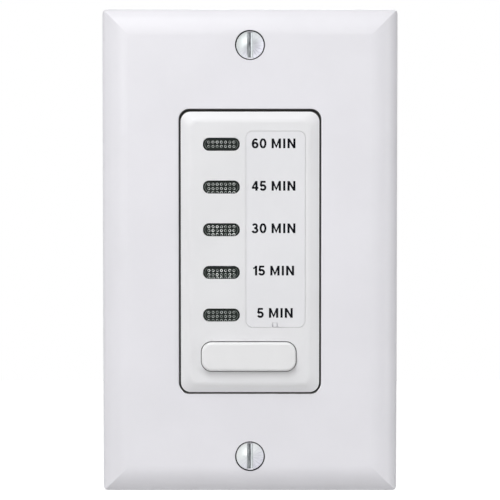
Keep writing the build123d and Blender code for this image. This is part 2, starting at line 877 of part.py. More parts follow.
# Snap dome: a thin round spring whose rim lies on the base's floor
dome_crown = dome_foot + dome_rise
dome_crown_radius = dome_radius * dome_crown_share
with BuildPart() as tact_switch_dome:
    with BuildSketch(Plane(origin=(button_x, 0, button_z), x_dir=(1, 0, 0), z_dir=(0, 0, -1))):
        Polygon(
            (0, dome_crown),
            (0, dome_crown - dome_sheet),
            (dome_crown_radius, dome_crown - dome_sheet),
            (dome_radius - 2 * dome_sheet, dome_foot),
            (dome_radius, dome_foot),
            (dome_crown_radius + dome_sheet, dome_crown),
            align=None,
        )
    revolve(axis=Axis((button_x, 0, button_z), (0, 1, 0)))
tact_switch_dome.part.label = "tact_switch_dome"
export_step(tact_switch_dome.part, "parts/tact_switch_dome.step")

# Circuit board: holes for the four bosses and for the wires' solder pads
with BuildPart() as circuit_board:
    with BuildSketch(at_height(board_front)):
        RectangleRounded(body_inner_width - 2 * board_gap, body_inner_height - 2 * board_gap, board_radius)
        with GridLocations(2 * boss_x, 2 * boss_z, 2, 2):
            Circle(boss_radius + board_boss_gap, mode=Mode.SUBTRACT)
        with Locations((0, outlet_z - outlet_radius)):
            with GridLocations(outlet_spacing, outlet_spacing, outlet_count, 1):
                Circle(lead_pad_radius, mode=Mode.SUBTRACT)
    extrude(amount=-board_thickness)
circuit_board.part.label = "circuit_board"
export_step(circuit_board.part, "parts/circuit_board.step")

# Rear housing: a deep tub with four screw posts, ribs under the board and wire outlets
with BuildPart() as rear_housing:
    with BuildSketch(at_height(0)):
        RectangleRounded(body_width, body_height, body_radius)
    extrude(amount=-body_depth)
    fillet(rear_housing.faces().sort_by(Axis.Y)[-1].edges(), body_back_round)
    with BuildSketch(at_height(0)):
        RectangleRounded(body_inner_width, body_inner_height, body_radius - body_wall)
    extrude(amount=body_wall - body_depth, mode=Mode.SUBTRACT)
    with BuildSketch(at_height(board_back)):
        with GridLocations(2 * boss_x, 2 * boss_z, 2, 2):
            Circle(post_radius)
        with GridLocations(body_inner_width - rib_reach, rib_spacing, 2, rib_count):
            Rectangle(rib_reach, rib_width)
    extrude(amount=body_wall - body_depth - board_back)
    with BuildSketch(at_height(board_back)):
        with GridLocations(2 * boss_x, 2 * boss_z, 2, 2):
            Circle(post_hole_radius)
    extrude(amount=-body_depth, mode=Mode.SUBTRACT)
    with BuildSketch(at_height(-post_seat_depth)):
        with GridLocations(2 * boss_x, 2 * boss_z, 2, 2):
            Circle(counterbore_radius)
    extrude(amount=-body_depth, mode=Mode.SUBTRACT)
    with BuildSketch(at_height(-body_depth)):
        with Locations((0, outlet_z)):
            with GridLocations(outlet_spacing, outlet_spacing, outlet_count, 1):
                Circle(outlet_radius)
    extrude(amount=body_wall + overrun, mode=Mode.SUBTRACT)
    outlet_mouths = rear_housing.faces().sort_by(Axis.Y)[-1].edges().filter_by(GeomType.CIRCLE)
    mouth_edges = outlet_mouths.filter_by(lambda mouth: abs(mouth.radius - outlet_radius) < pilot_gap)
    chamfer(mouth_edges, outlet_chamfer)
rear_housing.part.label = "rear_housing"
export_step(rear_housing.part, "parts/rear_housing.step")

# Housing screws: from the counterbores through the posts into the front housing's bosses
screw_seat = -post_seat_depth
with BuildPart() as housing_screws:
    with BuildSketch(at_height(screw_seat)):
        with GridLocations(2 * boss_x, 2 * boss_z, 2, 2):
            Circle(housing_screw_head_radius)
    extrude(amount=-housing_screw_head_height)
    with BuildSketch(at_height(screw_seat - housing_screw_head_height)):
        with GridLocations(2 * boss_x, 2 * boss_z, 2, 2):
            Rectangle(2 * housing_screw_head_radius + overrun, housing_screw_slot_width)
    extrude(amount=housing_screw_slot_depth, mode=Mode.SUBTRACT)
    with BuildSketch(at_height(screw_seat)):
        with GridLocations(2 * boss_x, 2 * boss_z, 2, 2):
            Circle(housing_screw_radius)
    extrude(amount=housing_screw_length)
housing_screws.part.label = "housing_screws"
export_step(housing_screws.part, "parts/housing_screws.step")

# Relay: every size below is taken along Z from the relay's middle, or as a depth behind the board
relay_back = board_back - relay_height
relay_inner_width = relay_width - 2 * relay_wall
relay_inner_length = relay_length - 2 * relay_wall
with BuildPart() as relay_cover:
    with BuildSketch(at_height(board_back)):
        with Locations((relay_x, relay_z)):
            Rectangle(relay_width, relay_length)
    extrude(amount=-relay_height)
    fillet(relay_cover.edges().filter_by(Axis.Y), relay_edge_round)
    fillet(relay_cover.faces().sort_by(Axis.Y)[-1].edges(), relay_edge_round)
    with BuildSketch(at_height(board_back)):
        with Locations((relay_x, relay_z)):
            Rectangle(relay_inner_width, relay_inner_length)
    extrude(amount=relay_wall - relay_height, mode=Mode.SUBTRACT)
relay_cover.part.label = "relay_cover"
export_step(relay_cover.part, "parts/relay_cover.step")

with BuildPart() as relay_base:
    with BuildSketch(at_height(board_back)):
        with Locations((relay_x, relay_z)):
            Rectangle(relay_inner_width - 2 * relay_base_gap, relay_inner_length - 2 * relay_base_gap)
    extrude(amount=-relay_base_height)
relay_base.part.label = "relay_base"
export_step(relay_base.part, "parts/relay_base.step")

# Yoke and core: an L of soft iron on the coil's far side, with the core riveted into its toe
coil_plane = Plane(origin=(relay_x, relay_coil_depth - board_back, relay_z), z_dir=(0, 0, 1))
toe_top = bobbin_bottom - core_gap
toe_bottom = toe_top - yoke_thickness
yoke_outer_depth = yoke_leg_depth + yoke_thickness
with BuildPart() as relay_yoke:
    with BuildSketch(along_at(relay_x)):
        Polygon(
            (relay_z + toe_bottom, board_back - yoke_toe_depth),
            (relay_z + toe_top, board_back - yoke_toe_depth),
            (relay_z + toe_top, board_back - yoke_leg_depth),
            (relay_z + yoke_top, board_back - yoke_leg_depth),
            (relay_z + yoke_top, board_back - yoke_outer_depth),
            (relay_z + toe_bottom, board_back - yoke_outer_depth),
            align=None,
        )
    extrude(amount=yoke_width / 2, both=True)
    with BuildSketch(coil_plane.offset(toe_bottom)):
        Circle(core_radius)
    extrude(amount=pole_top - toe_bottom)
relay_yoke.part.label = "relay_yoke"
export_step(relay_yoke.part, "parts/relay_yoke.step")

# Bobbin: a tube on the core between two square flanges
with BuildPart() as relay_bobbin:
    with BuildSketch(coil_plane.offset(bobbin_bottom)):
        Circle(bobbin_tube_radius)
    extrude(amount=bobbin_top - bobbin_bottom)
    with BuildSketch(coil_plane.offset(bobbin_bottom), coil_plane.offset(bobbin_top - bobbin_flange)):
        Rectangle(bobbin_width, bobbin_width)
    extrude(amount=bobbin_flange)
    with BuildSketch(coil_plane.offset(bobbin_bottom)):
        Circle(core_radius + core_gap)
    extrude(amount=bobbin_top - bobbin_bottom, mode=Mode.SUBTRACT)
relay_bobbin.part.label = "relay_bobbin"
export_step(relay_bobbin.part, "parts/relay_bobbin.step")

with BuildPart() as relay_winding:
    with BuildSketch(coil_plane.offset(bobbin_bottom + bobbin_flange)):
        Circle(winding_radius)
        Circle(bobbin_tube_radius, mode=Mode.SUBTRACT)
    extrude(amount=bobbin_top - bobbin_bottom - 2 * bobbin_flange)
relay_winding.part.label = "relay_winding"
export_step(relay_winding.part, "parts/relay_winding.step")

# Armature: a flat plate that leans on the yoke's edge in front of the pole
armature_back = armature_face + armature_thickness
with BuildPart() as relay_armature:
    with BuildSketch(along_at(relay_x)):
        Polygon(
            (relay_z + armature_face, board_back - armature_tip_depth),
            (relay_z + armature_back, board_back - armature_tip_depth),
            (relay_z + armature_back, board_back - yoke_outer_depth),
            (relay_z + armature_face, board_back - yoke_outer_depth),
            align=None,
        )
    extrude(amount=armature_width / 2, both=True)
relay_armature.part.label = "relay_armature"
export_step(relay_armature.part, "parts/relay_armature.step")

# Moving spring: an angle of thin sheet on the armature, with the moving contact at its far end
spring_corner = armature_back + moving_spring_sheet
moving_face_depth = fixed_contact_face_depth + contact_travel
spring_depth = moving_face_depth + contact_height
with BuildPart() as relay_moving_spring:
    with BuildSketch(along_at(relay_x)):
        Polygon(
            (relay_z + armature_back, board_back - moving_spring_tip_depth),
            (relay_z + spring_corner, board_back - moving_spring_tip_depth),
            (relay_z + spring_corner, board_back - spring_depth),
            (relay_z + moving_spring_reach, board_back - spring_depth),
            (relay_z + moving_spring_reach, board_back - spring_depth - moving_spring_sheet),
            (relay_z + armature_back, board_back - spring_depth - moving_spring_sheet),
            align=None,
        )
    extrude(amount=moving_spring_width / 2, both=True)
    with BuildSketch(at_height(board_back - spring_depth)):
        with Locations((relay_x, relay_z + contact_z)):
            Circle(contact_radius)
    extrude(amount=contact_height)
relay_moving_spring.part.label = "relay_moving_spring"
export_step(relay_moving_spring.part, "parts/relay_moving_spring.step")

# Fixed contact: a bent blade from the base, with the fixed contact under the moving one
blade_depth = fixed_contact_face_depth - contact_height
blade_tip_z = contact_z - contact_radius
with BuildPart() as relay_fixed_contact:
    with BuildSketch(along_at(relay_x)):
        Polygon(
            (relay_z + fixed_blade_z, board_back - relay_base_height),
            (relay_z + fixed_blade_z, board_back - blade_depth),
            (relay_z + blade_tip_z, board_back - blade_depth),
            (relay_z + blade_tip_z, board_back - blade_depth + fixed_blade),
            (relay_z + fixed_blade_z - fixed_blade, board_back - blade_depth + fixed_blade),
            (relay_z + fixed_blade_z - fixed_blade, board_back - relay_base_height),
            align=None,
        )
    extrude(amount=fixed_blade_width / 2, both=True)
    with BuildSketch(at_height(board_back - blade_depth)):
        with Locations((relay_x, relay_z + contact_z)):
            Circle(contact_radius)
    extrude(amount=-contact_height)
relay_fixed_contact.part.label = "relay_fixed_contact"
export_step(relay_fixed_contact.part, "parts/relay_fixed_contact.step")

# Film capacitor: a moulded box standing on the board
with BuildPart() as film_capacitor:
    with BuildSketch(at_height(board_back)):
        with Locations((film_capacitor_x, film_capacitor_z)):
            Rectangle(film_capacitor_width, film_capacitor_length)
    extrude(amount=-film_capacitor_height)
    fillet(film_capacitor.edges().filter_by(Axis.Y), film_capacitor_round)
    fillet(film_capacitor.faces().sort_by(Axis.Y)[-1].edges(), film_capacitor_round)
film_capacitor.part.label = "film_capacitor"
export_step(film_capacitor.part, "parts/film_capacitor.step")

main_electrolytic = electrolytic(
    half_width * main_electrolytic_x_share,
    half_height * main_electrolytic_z_share,
    main_electrolytic_radius,
    main_electrolytic_height,
)
main_electrolytic.label = "main_electrolytic"
export_step(main_electrolytic, "parts/main_electrolytic.step")

small_electrolytic = electrolytic(
    half_width * small_electrolytic_x_share,
    half_height * small_electrolytic_z_share,
    small_electrolytic_radius,
    small_electrolytic_height,
)
small_electrolytic.label = "small_electrolytic"
export_step(small_electrolytic, "parts/small_electrolytic.step")

# Varistor: a coated disc standing on two wires
varistor_depth = varistor_standoff + varistor_radius
disc_plane = Plane(origin=(varistor_x, varistor_depth - board_back, varistor_z), z_dir=(0, 0, 1))
with BuildPart() as varistor:
    with BuildSketch(disc_plane.offset(-varistor_thickness / 2)):
        Circle(varistor_radius)
    extrude(amount=varistor_thickness)
    chamfer(varistor.edges().filter_by(GeomType.CIRCLE), varistor_chamfer)
    with BuildSketch(at_height(board_back)):
        with Locations((varistor_x, varistor_z)):
            with GridLocations(varistor_lead_spacing, varistor_lead_spacing, 2, 1):
                Circle(varistor_lead_radius)
    extrude(amount=-varistor_depth)
varistor.part.label = "varistor"
export_step(varistor.part, "parts/varistor.step")

# Power resistor: a wire with a body that is thicker at its two end caps
resistor_standoff = resistor_end_radius + lead_standoff_gap
power_resistor = axial_component(
    half_width * resistor_x_share,
    half_height * resistor_z_share,
    resistor_standoff,
    resistor_lead_span,
    resistor_length,
    resistor_radius,
    resistor_end_length,
    resistor_end_radius,
)
power_resistor.label = "power_resistor"
export_step(power_resistor, "parts/power_resistor.step")

# Rectifier diodes: four alike in a row
diode_standoff = diode_radius + lead_standoff_gap
diodes = [
    axial_component(
        half_width * diode_x_share,
        half_height * diode_middle_z_share + (index - (diode_count - 1) / 2) * diode_pitch,
        diode_standoff,
        diode_lead_span,
        diode_length,
        diode_radius,
        diode_band_length,
        diode_radius,
    )
    for index in range(diode_count)
]
with BuildPart() as rectifier_diodes:
    for diode in diodes:
        add(diode)
rectifier_diodes.part.label = "rectifier_diodes"
export_step(rectifier_diodes.part, "parts/rectifier_diodes.step")

# Microcontroller: a flat moulded body on the board's front, with bent pins down both long sides
body_foot = board_front + controller_standoff
pin_level = body_foot + controller_height / 2
pin_span = (controller_pin_count - 1) * controller_pin_pitch + controller_pin_width
with BuildPart() as microcontroller:
    with BuildSketch(at_height(body_foot)):
        with Locations((controller_x, controller_z)):
            Rectangle(controller_width, controller_length)
    extrude(amount=controller_height)
    for side in (-1, 1):
        root = controller_x + side * controller_width / 2
        knee = root + side * (controller_pin_reach - controller_foot)
        toe = root + side * controller_pin_reach
        with BuildSketch(across_at(controller_z + pin_span / 2)):
            Polygon(
                (root, pin_level),
                (root, pin_level + controller_pin_sheet),
                (knee, pin_level + controller_pin_sheet),
                (knee, board_front + controller_pin_sheet),
                (toe, board_front + controller_pin_sheet),
                (toe, board_front),
                (knee - side * controller_pin_sheet, board_front),
                (knee - side * controller_pin_sheet, pin_level),
                align=None,
            )
        extrude(amount=pin_span)
        with BuildSketch(at_height(board_front)):
            with Locations((root + side * (controller_pin_reach + overrun) / 2, controller_z)):
                with GridLocations(
                    controller_pin_pitch, controller_pin_pitch, 1, controller_pin_count - 1
                ):
                    Rectangle(
                        controller_pin_reach + overrun, controller_pin_pitch - controller_pin_width
                    )
        extrude(amount=controller_height + controller_standoff, mode=Mode.SUBTRACT)
microcontroller.part.label = "microcontroller"
export_step(microcontroller.part, "parts/microcontroller.step")

# Crystal: a drawn can on a thin flange
with BuildPart() as crystal:
    with BuildSketch(at_height(board_front)):
        with Locations((crystal_x, crystal_z)):
            SlotOverall(
                crystal_length + 2 * crystal_flange_ledge,
                crystal_width + 2 * crystal_flange_ledge,
                rotation=90,
            )
    extrude(amount=crystal_flange)
    with BuildSketch(at_height(board_front)):
        with Locations((crystal_x, crystal_z)):
            SlotOverall(crystal_length, crystal_width, rotation=90)
    extrude(amount=crystal_height)
    chamfer(crystal.faces().sort_by(Axis.Y)[0].edges(), crystal_chamfer)
crystal.part.label = "crystal"
export_step(crystal.part, "parts/crystal.step")
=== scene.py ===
# %% [markdown]
# # A countdown timer switch for the wall
#
# The object is a white moulded wall plate, screwed on at top and bottom, with the face of a timer standing
# in its opening. Five smoked windows show which time is running, a flat insert beside them carries the
# times, and a wide button steps through them. Everything solid comes from the construction model, so this
# file only gives it light, surfaces and the detail that is too fine for the model: print, lamp beads,
# screw threads and tool marks.

import json
import math

import bmesh
import bpy
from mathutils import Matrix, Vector
from mathutils.geometry import delaunay_2d_cdt


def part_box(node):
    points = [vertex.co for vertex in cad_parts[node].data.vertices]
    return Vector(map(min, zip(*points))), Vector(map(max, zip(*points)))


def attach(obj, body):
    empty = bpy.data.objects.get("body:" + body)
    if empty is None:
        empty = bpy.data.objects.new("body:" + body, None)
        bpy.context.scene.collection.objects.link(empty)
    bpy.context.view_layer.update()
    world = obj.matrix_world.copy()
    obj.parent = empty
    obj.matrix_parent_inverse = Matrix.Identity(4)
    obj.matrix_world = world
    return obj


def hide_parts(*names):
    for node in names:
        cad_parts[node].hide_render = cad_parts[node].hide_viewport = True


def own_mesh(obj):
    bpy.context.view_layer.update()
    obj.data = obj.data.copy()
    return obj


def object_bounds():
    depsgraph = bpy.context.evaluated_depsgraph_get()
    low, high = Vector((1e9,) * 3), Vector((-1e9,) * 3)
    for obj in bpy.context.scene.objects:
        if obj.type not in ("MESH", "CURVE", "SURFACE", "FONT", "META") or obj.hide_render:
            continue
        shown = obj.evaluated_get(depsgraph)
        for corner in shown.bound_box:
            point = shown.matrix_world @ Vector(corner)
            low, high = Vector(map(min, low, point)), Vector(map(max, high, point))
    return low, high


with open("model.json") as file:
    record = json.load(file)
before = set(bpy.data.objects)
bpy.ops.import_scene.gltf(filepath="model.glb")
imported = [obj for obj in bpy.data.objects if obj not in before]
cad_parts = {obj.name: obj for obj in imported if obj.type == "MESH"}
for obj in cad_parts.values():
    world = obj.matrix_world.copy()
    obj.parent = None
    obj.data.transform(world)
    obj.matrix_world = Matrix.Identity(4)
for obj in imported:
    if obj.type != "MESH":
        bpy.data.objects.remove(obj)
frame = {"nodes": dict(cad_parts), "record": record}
nodes = frame["nodes"]
cad_low, cad_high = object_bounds()
MM = 0.001
print("CAD box in mm:", [round(side / MM, 2) for side in cad_high - cad_low])

# %% [markdown]
# ## A small language for surfaces
#
# Blender draws a material as a graph of nodes. Written out link by link, such a graph is hard to read. Here
# one class wraps an output socket, so that `1 - mask` or `noise * 0.2` adds the Math node by itself, and one
# class stands for a finish, with a single method for every other kind of node. Dragging nodes by hand gives
# the same graph, but a formula can be read, repeated and changed.

# %% Sockets that can be added and multiplied
class Wire:
    """An output of a node that arithmetic works on."""

    def __init__(self, finish, socket):
        self.finish = finish
        self.socket = socket

    def __add__(self, other):
        return self.finish.maths("ADD", self, other)

    def __radd__(self, other):
        return self.finish.maths("ADD", other, self)

    def __sub__(self, other):
        return self.finish.maths("SUBTRACT", self, other)

    def __rsub__(self, other):
        return self.finish.maths("SUBTRACT", other, self)

    def __mul__(self, other):
        return self.finish.maths("MULTIPLY", self, other)

    def __rmul__(self, other):
        return self.finish.maths("MULTIPLY", other, self)

    def __truediv__(self, other):
        return self.finish.maths("DIVIDE", self, other)

    def __rtruediv__(self, other):
        return self.finish.maths("DIVIDE", other, self)

    def between(self, low, high):
        """0 below low, 1 above high, with a soft step from one to the other."""
        settings = {"interpolation_type": "SMOOTHSTEP"}
        inputs = {"Value": self, "From Min": low, "From Max": high}
        return self.finish.add("ShaderNodeMapRange", settings, inputs)


# %% One class for a finish
# Blender's Mix node has sockets for numbers, vectors and colours. These are the share and the colour ones.
MIX_SHARE, MIX_FIRST, MIX_SECOND, MIX_RESULT = 0, 6, 7, 2


class Finish:
    """A material whose nodes are made by formulas."""

    def __init__(self, name):
        self.material = bpy.data.materials.new(name)
        self.material.use_nodes = True
        self.tree = self.material.node_tree
        self.shader = self.tree.nodes["Principled BSDF"]

    def feed(self, socket, value):
        """Link a wire to a socket, or set a plain value on it."""
        if isinstance(value, Wire):
            self.tree.links.new(value.socket, socket)
        elif socket.type == "RGBA":
            socket.default_value = (*value, 1.0)
        else:
            socket.default_value = value

    def add(self, kind, settings=None, inputs=None, output=0):
        """Any node: its settings first, then its sockets. Returns one output."""
        node = self.tree.nodes.new(kind)
        for name, value in (settings or {}).items():
            setattr(node, name, value)
        for name, value in (inputs or {}).items():
            self.feed(node.inputs[name], value)
        return Wire(self, node.outputs[output])

    def maths(self, operation, first, second=0.0):
        """A Math node on one or two wires or numbers."""
        return self.add("ShaderNodeMath", {"operation": operation}, {0: first, 1: second})

    def place(self):
        """The point on the piece, in metres."""
        return self.add("ShaderNodeTexCoord", output="Object")

    def stretched(self, scale):
        """The same point with each axis scaled, to draw a texture out along one of them."""
        return self.add("ShaderNodeMapping", {}, {"Vector": self.place(), "Scale": scale})

    def noise(self, size, detail=2.0, rough=0.5, at=None):
        """Cloudy noise from 0 to 1 whose lumps are about this size in metres."""
        inputs = {"Vector": at or self.place(), "Scale": 1 / size, "Detail": detail, "Roughness": rough}
        return self.add("ShaderNodeTexNoise", {}, inputs)

    def axes(self, vector):
        """The three parts of a vector."""
        first = self.add("ShaderNodeSeparateXYZ", {}, {"Vector": vector})
        return [Wire(self, output) for output in first.socket.node.outputs]

    def point(self, x, y, z):
        """A vector from three values."""
        return self.add("ShaderNodeCombineXYZ", {}, {"X": x, "Y": y, "Z": z})

    def blend_colour(self, first, second, share):
        """A colour between two others."""
        inputs = {MIX_SHARE: share, MIX_FIRST: first, MIX_SECOND: second}
        return self.add("ShaderNodeMix", {"data_type": "RGBA"}, inputs, MIX_RESULT)

    def bump(self, height, depth, strength=1.0):
        """A dent or a grain of this depth in metres, fed to the shader's normal."""
        inputs = {"Height": height, "Distance": depth, "Strength": strength}
        self.set(Normal=self.add("ShaderNodeBump", {}, inputs))

    def set(self, **values):
        """Set the shader's own sockets, with an underscore for a space in a name."""
        for name, value in values.items():
            self.feed(self.shader.inputs[name.replace("_", " ")], value)


# %% Colours
def tone(red, green, blue):
    """A colour as it is read from a screen, 0 to 255, turned into the linear numbers of a shader."""
    shares = [channel / 255 for channel in (red, green, blue)]
    return tuple(s / 12.92 if s <= 0.04045 else ((s + 0.055) / 1.055) ** 2.4 for s in shares)


def shaded(colour, share):
    """The same colour, brighter or darker by a share."""
    return tuple(min(channel * share, 1.0) for channel in colour)


print("middle grey as a shader's number:", round(tone(128, 128, 128)[0], 3))

# %% A shelf for the finishes
finishes = {}


def keep(make, name, *look):
    """Make a finish, keep it under its name, and say how many nodes it took."""
    finishes[name] = make(name, *look)
    print(name, "nodes:", len(finishes[name].node_tree.nodes))


# %% [markdown]
# ## The camera
#
# The plate was photographed almost square on, from a forearm's length away and a finger's breadth above its
# middle. A longer lens from further away gives nearly the same frame, but the near camera is what shows the
# plate's upper edge a little wider than the lower one. The place was found by matching the corners of the
# plate, its opening and its screws, so no shift of the lens is needed.

# %% Camera
CAMERA_DISTANCE = 405.9 * MM
CAMERA_HEIGHT = 12.91 * MM
CAMERA_PITCH = math.radians(1.802)
FOCAL_PIXELS = 1703.7
PHOTO_PIXELS = 500

camera_data = bpy.data.cameras.new("camera")
camera_data.sensor_width = 36.0
camera_data.lens = camera_data.sensor_width * FOCAL_PIXELS / PHOTO_PIXELS
camera_data.clip_start = 10 * MM
camera_data.clip_end = 20.0
camera = bpy.data.objects.new("camera", camera_data)
camera.location = (0.0, -CAMERA_DISTANCE, CAMERA_HEIGHT)
camera.rotation_euler = (math.radians(90) - CAMERA_PITCH, 0.0, 0.0)
bpy.context.scene.collection.objects.link(camera)
bpy.context.scene.camera = camera
bpy.context.scene.view_settings.view_transform = "Standard"
print("lens in mm:", round(camera_data.lens, 1))

# %% [markdown]
# ## Light and background
#
# White plastic on a white ground only reads as an object when its slopes differ from its flats. A bright
# sky all round would flatten it. So the light comes from a few wide soft lamps: three in front and above, a
# nearer one at the left that makes the flats fade to the right, and one each for the sides and the back.
# The sky is dim for the object, while the camera, mirrors and glass still see it as plain white. That trick
# is the Light Path node: it tells the camera's own rays from the ones that light the scene. The powers were
# found by rendering each lamp alone and adding the pictures up, which light allows.

# %% Lamps, each with its place and size in metres and its power in watts
LAMPS = {
    "key_lamp": ((-0.35, -0.95, 0.95), (0.4, 0.3), 3.45),
    "upper_lamp": ((-0.4, -0.5, 1.25), (0.6, 0.4), 6.2),
    "front_lamp": ((0.0, -1.3, 0.45), (0.8, 0.4), 2.3),
    "near_left_lamp": ((-0.34, -0.58, 0.25), (0.3, 0.4), 1.5),
    "left_lamp": ((-1.1, -0.45, 0.05), (0.3, 0.9), 0.5),
    "right_lamp": ((1.1, -0.45, 0.05), (0.1, 0.9), 3.5),
    "rear_lamp": ((0.3, 1.3, 0.6), (0.8, 0.6), 5.0),
}


def area_lamp(name, place, size, power):
    """A soft rectangular lamp that faces the middle of the object."""
    data = bpy.data.lights.new(name, "AREA")
    data.shape = "RECTANGLE"
    data.size, data.size_y = size
    data.energy = power
    lamp = bpy.data.objects.new(name, data)
    lamp.location = place
    lamp.rotation_euler = (-Vector(place)).to_track_quat("-Z", "Y").to_euler()
    bpy.context.scene.collection.objects.link(lamp)


for name, look in LAMPS.items():
    area_lamp(name, *look)
print("lamps:", len(LAMPS), "watts:", round(sum(power for _, _, power in LAMPS.values()), 1))

# %% Rays that see the background
def background_rays(tree):
    """1 for rays from the camera, off a mirror or through glass, and 0 for the ones that only light."""
    rays = tree.nodes.new("ShaderNodeLightPath")
    seen = rays.outputs["Is Camera Ray"]
    for name in ("Is Glossy Ray", "Is Transmission Ray"):
        either = tree.nodes.new("ShaderNodeMath")
        either.operation = "MAXIMUM"
        tree.links.new(seen, either.inputs[0])
        tree.links.new(rays.outputs[name], either.inputs[1])
        seen = either.outputs[0]
    return seen


# %% Sky
SKY_LIGHT = 0.15


def sky():
    """A plain sky that is dim as a lamp and white as a background."""
    world = bpy.data.worlds.new("sky")
    world.use_nodes = True
    tree = world.node_tree
    tree.nodes.clear()
    backgrounds = []
    for strength in (SKY_LIGHT, 1.0):
        background = tree.nodes.new("ShaderNodeBackground")
        background.inputs["Color"].default_value = (1.0, 1.0, 1.0, 1.0)
        background.inputs["Strength"].default_value = strength
        backgrounds.append(background.outputs[0])
    choice = tree.nodes.new("ShaderNodeMixShader")
    for source, socket in zip((background_rays(tree), *backgrounds), choice.inputs):
        tree.links.new(source, socket)
    output = tree.nodes.new("ShaderNodeOutputWorld")
    tree.links.new(choice.outputs[0], output.inputs[0])
    bpy.context.scene.world = world
    return world


print(sky().name, "strength as a lamp:", SKY_LIGHT)

# %% [markdown]
# ## The floor
#
# The switch hangs on a wall in use, and in the picture it floats on white. A floor close under it would
# draw a line behind it, so the floor lies a forearm's length below. It still catches the soft shadow that
# the other views show. A little light of its own lifts the lit part to white for the camera, and the
# shadow stays grey. Further out the lamps reach it less, so there its own light grows to full white and the
# floor runs into the background without an edge.

# %% Floor
FLOOR_DROP = 0.30
FLOOR_REACH = 3.0
FLOOR_WHITE = 0.6
FLOOR_LIFT = 0.78
FLOOR_RIM_LIFT = 1.02
FLOOR_LIT = 0.25
FLOOR_UNLIT = 1.1


def floor():
    """A wide pale plane, with a light of its own that only background rays see."""
    mesh = bpy.data.meshes.new("floor")
    reach, height = FLOOR_REACH, cad_low.z - FLOOR_DROP
    corners = [(-reach, -reach), (reach, -reach), (reach, reach), (-reach, reach)]
    mesh.from_pydata([(x, y, height) for x, y in corners], [], [(0, 1, 2, 3)])
    plane = bpy.data.objects.new("floor", mesh)
    bpy.context.scene.collection.objects.link(plane)
    finish = Finish("floor_paper")
    grain = finish.noise(4 * MM, detail=3.0)
    x, y, _ = finish.axes(finish.place())
    away = finish.maths("SQRT", x * x + y * y).between(FLOOR_LIT, FLOOR_UNLIT)
    near_white, far_white = (FLOOR_LIFT,) * 3, (FLOOR_RIM_LIFT,) * 3
    finish.set(Base_Color=(FLOOR_WHITE,) * 3, Roughness=0.8 + grain * 0.1)
    finish.set(Emission_Color=finish.blend_colour(near_white, far_white, away))
    finish.tree.links.new(background_rays(finish.tree), finish.shader.inputs["Emission Strength"])
    mesh.materials.append(finish.material)
    return plane


print("floor at mm:", round(floor().data.vertices[0].co.z / MM, 1))

# %% [markdown]
# ## White moulded plastic
#
# The plate, the timer's face, the label and the button are four mouldings of nearly the same white. A real
# moulding is never one colour: the pigment clouds a little, the satin is glossier where the tool was
# polished, and a very fine orange-peel grain breaks up reflections. Three noises of three sizes make these:
# one of a thumb's width for the colour, one of a few millimetres for the gloss, and one as fine as sewing
# thread for the grain. A photo of plastic pulled over the piece would show its seams.

# %% White plastics
CLOUD = 16 * MM
GLOSS_PATCH = 3.5 * MM
GRAIN = 0.16 * MM
# The gap colour below is painted shade, laid where the gaps between the mouldings fall in shadow.
GAP_PAINTED_SHADE = tone(56, 52, 48)
PAINTED_SHADE_COVER = 0.95


def white_plastic(name, colour, gloss, peel, shine, painted_shades=()):
    """A satin moulding: clouds in the pigment, patches in the gloss, a fine peel, and painted shade in gaps.
    """
    finish = Finish(name)
    clouds = finish.noise(CLOUD, detail=3.0)
    patches = finish.noise(GLOSS_PATCH)
    tint = finish.blend_colour(shaded(colour, 0.982), shaded(colour, 1.012), clouds.between(0.3, 0.7))
    # Each mask lets in painted shade, darkening the white where a gap or recess falls in shadow.
    for shade_mask in painted_shades:
        tint = finish.blend_colour(tint, GAP_PAINTED_SHADE, shade_mask(finish) * PAINTED_SHADE_COVER)
    finish.set(Base_Color=tint)
    finish.set(Roughness=gloss + (patches - 0.5) * 0.12)
    finish.set(Specular_IOR_Level=0.45, Coat_Weight=shine, Coat_Roughness=0.12)
    finish.bump(finish.noise(GRAIN), peel)
    return finish.material


# %% [markdown]
# ## Painted shade in the gaps
#
# The gaps between the mouldings fall in shadow, and painted shade is what draws the dark line round the
# timer's face and round the button. The shade is one more colour, let in where a point lies close to the
# gap. The opening and the button are rounded rectangles, so one formula gives how far a point lies off such
# an outline, and the shade covers the first fraction of a millimetre. Only the timer's sides use a plain
# box.
# A painted texture would need a map of every surface, while the formula follows the sizes.

# %% Where a point lies
# The soft edge of each stretch of painted shade.
SHADE_EDGE = 0.03 * MM


def in_box(finish, low, high):
    """1 inside the box between two corners, 0 outside it, with a soft edge."""
    inside = 1.0
    for part, start, stop in zip(finish.axes(finish.place()), low, high):
        inside = inside * part.between(start, start + SHADE_EDGE) * (1 - part.between(stop - SHADE_EDGE, stop))
    return inside


def off_outline(finish, middle, size, radius):
    """How far a point lies outside a rounded rectangle that faces the front; less than 0 inside it."""
    x, _, z = finish.axes(finish.place())
    past = []
    for part, centre, side in ((x, middle[0], size[0]), (z, middle[1], size[1])):
        beyond = finish.maths("ABSOLUTE", part - centre) - (side / 2 - radius)
        past.append(finish.maths("MAXIMUM", beyond, 0.0))
    return finish.maths("SQRT", past[0] * past[0] + past[1] * past[1]) - radius


# %% Painted shade on the plate's opening and the timer's sides
plate_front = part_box("wall_plate")[0].y
face_low, face_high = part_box("front_housing")
OPENING = ((0.0, 0.0), (33.3 * MM, 66.7 * MM), 2.4 * MM)
SILL = (-33.4 * MM, -32.6 * MM)
# How far the painted shade reaches round the plate's opening, further along the sill.
LIP_SHADE = 0.06 * MM
SILL_SHADE = 0.2 * MM
SKIRT_UNSHADED = 0.6 * MM
GAP_DEPTH = 4 * MM


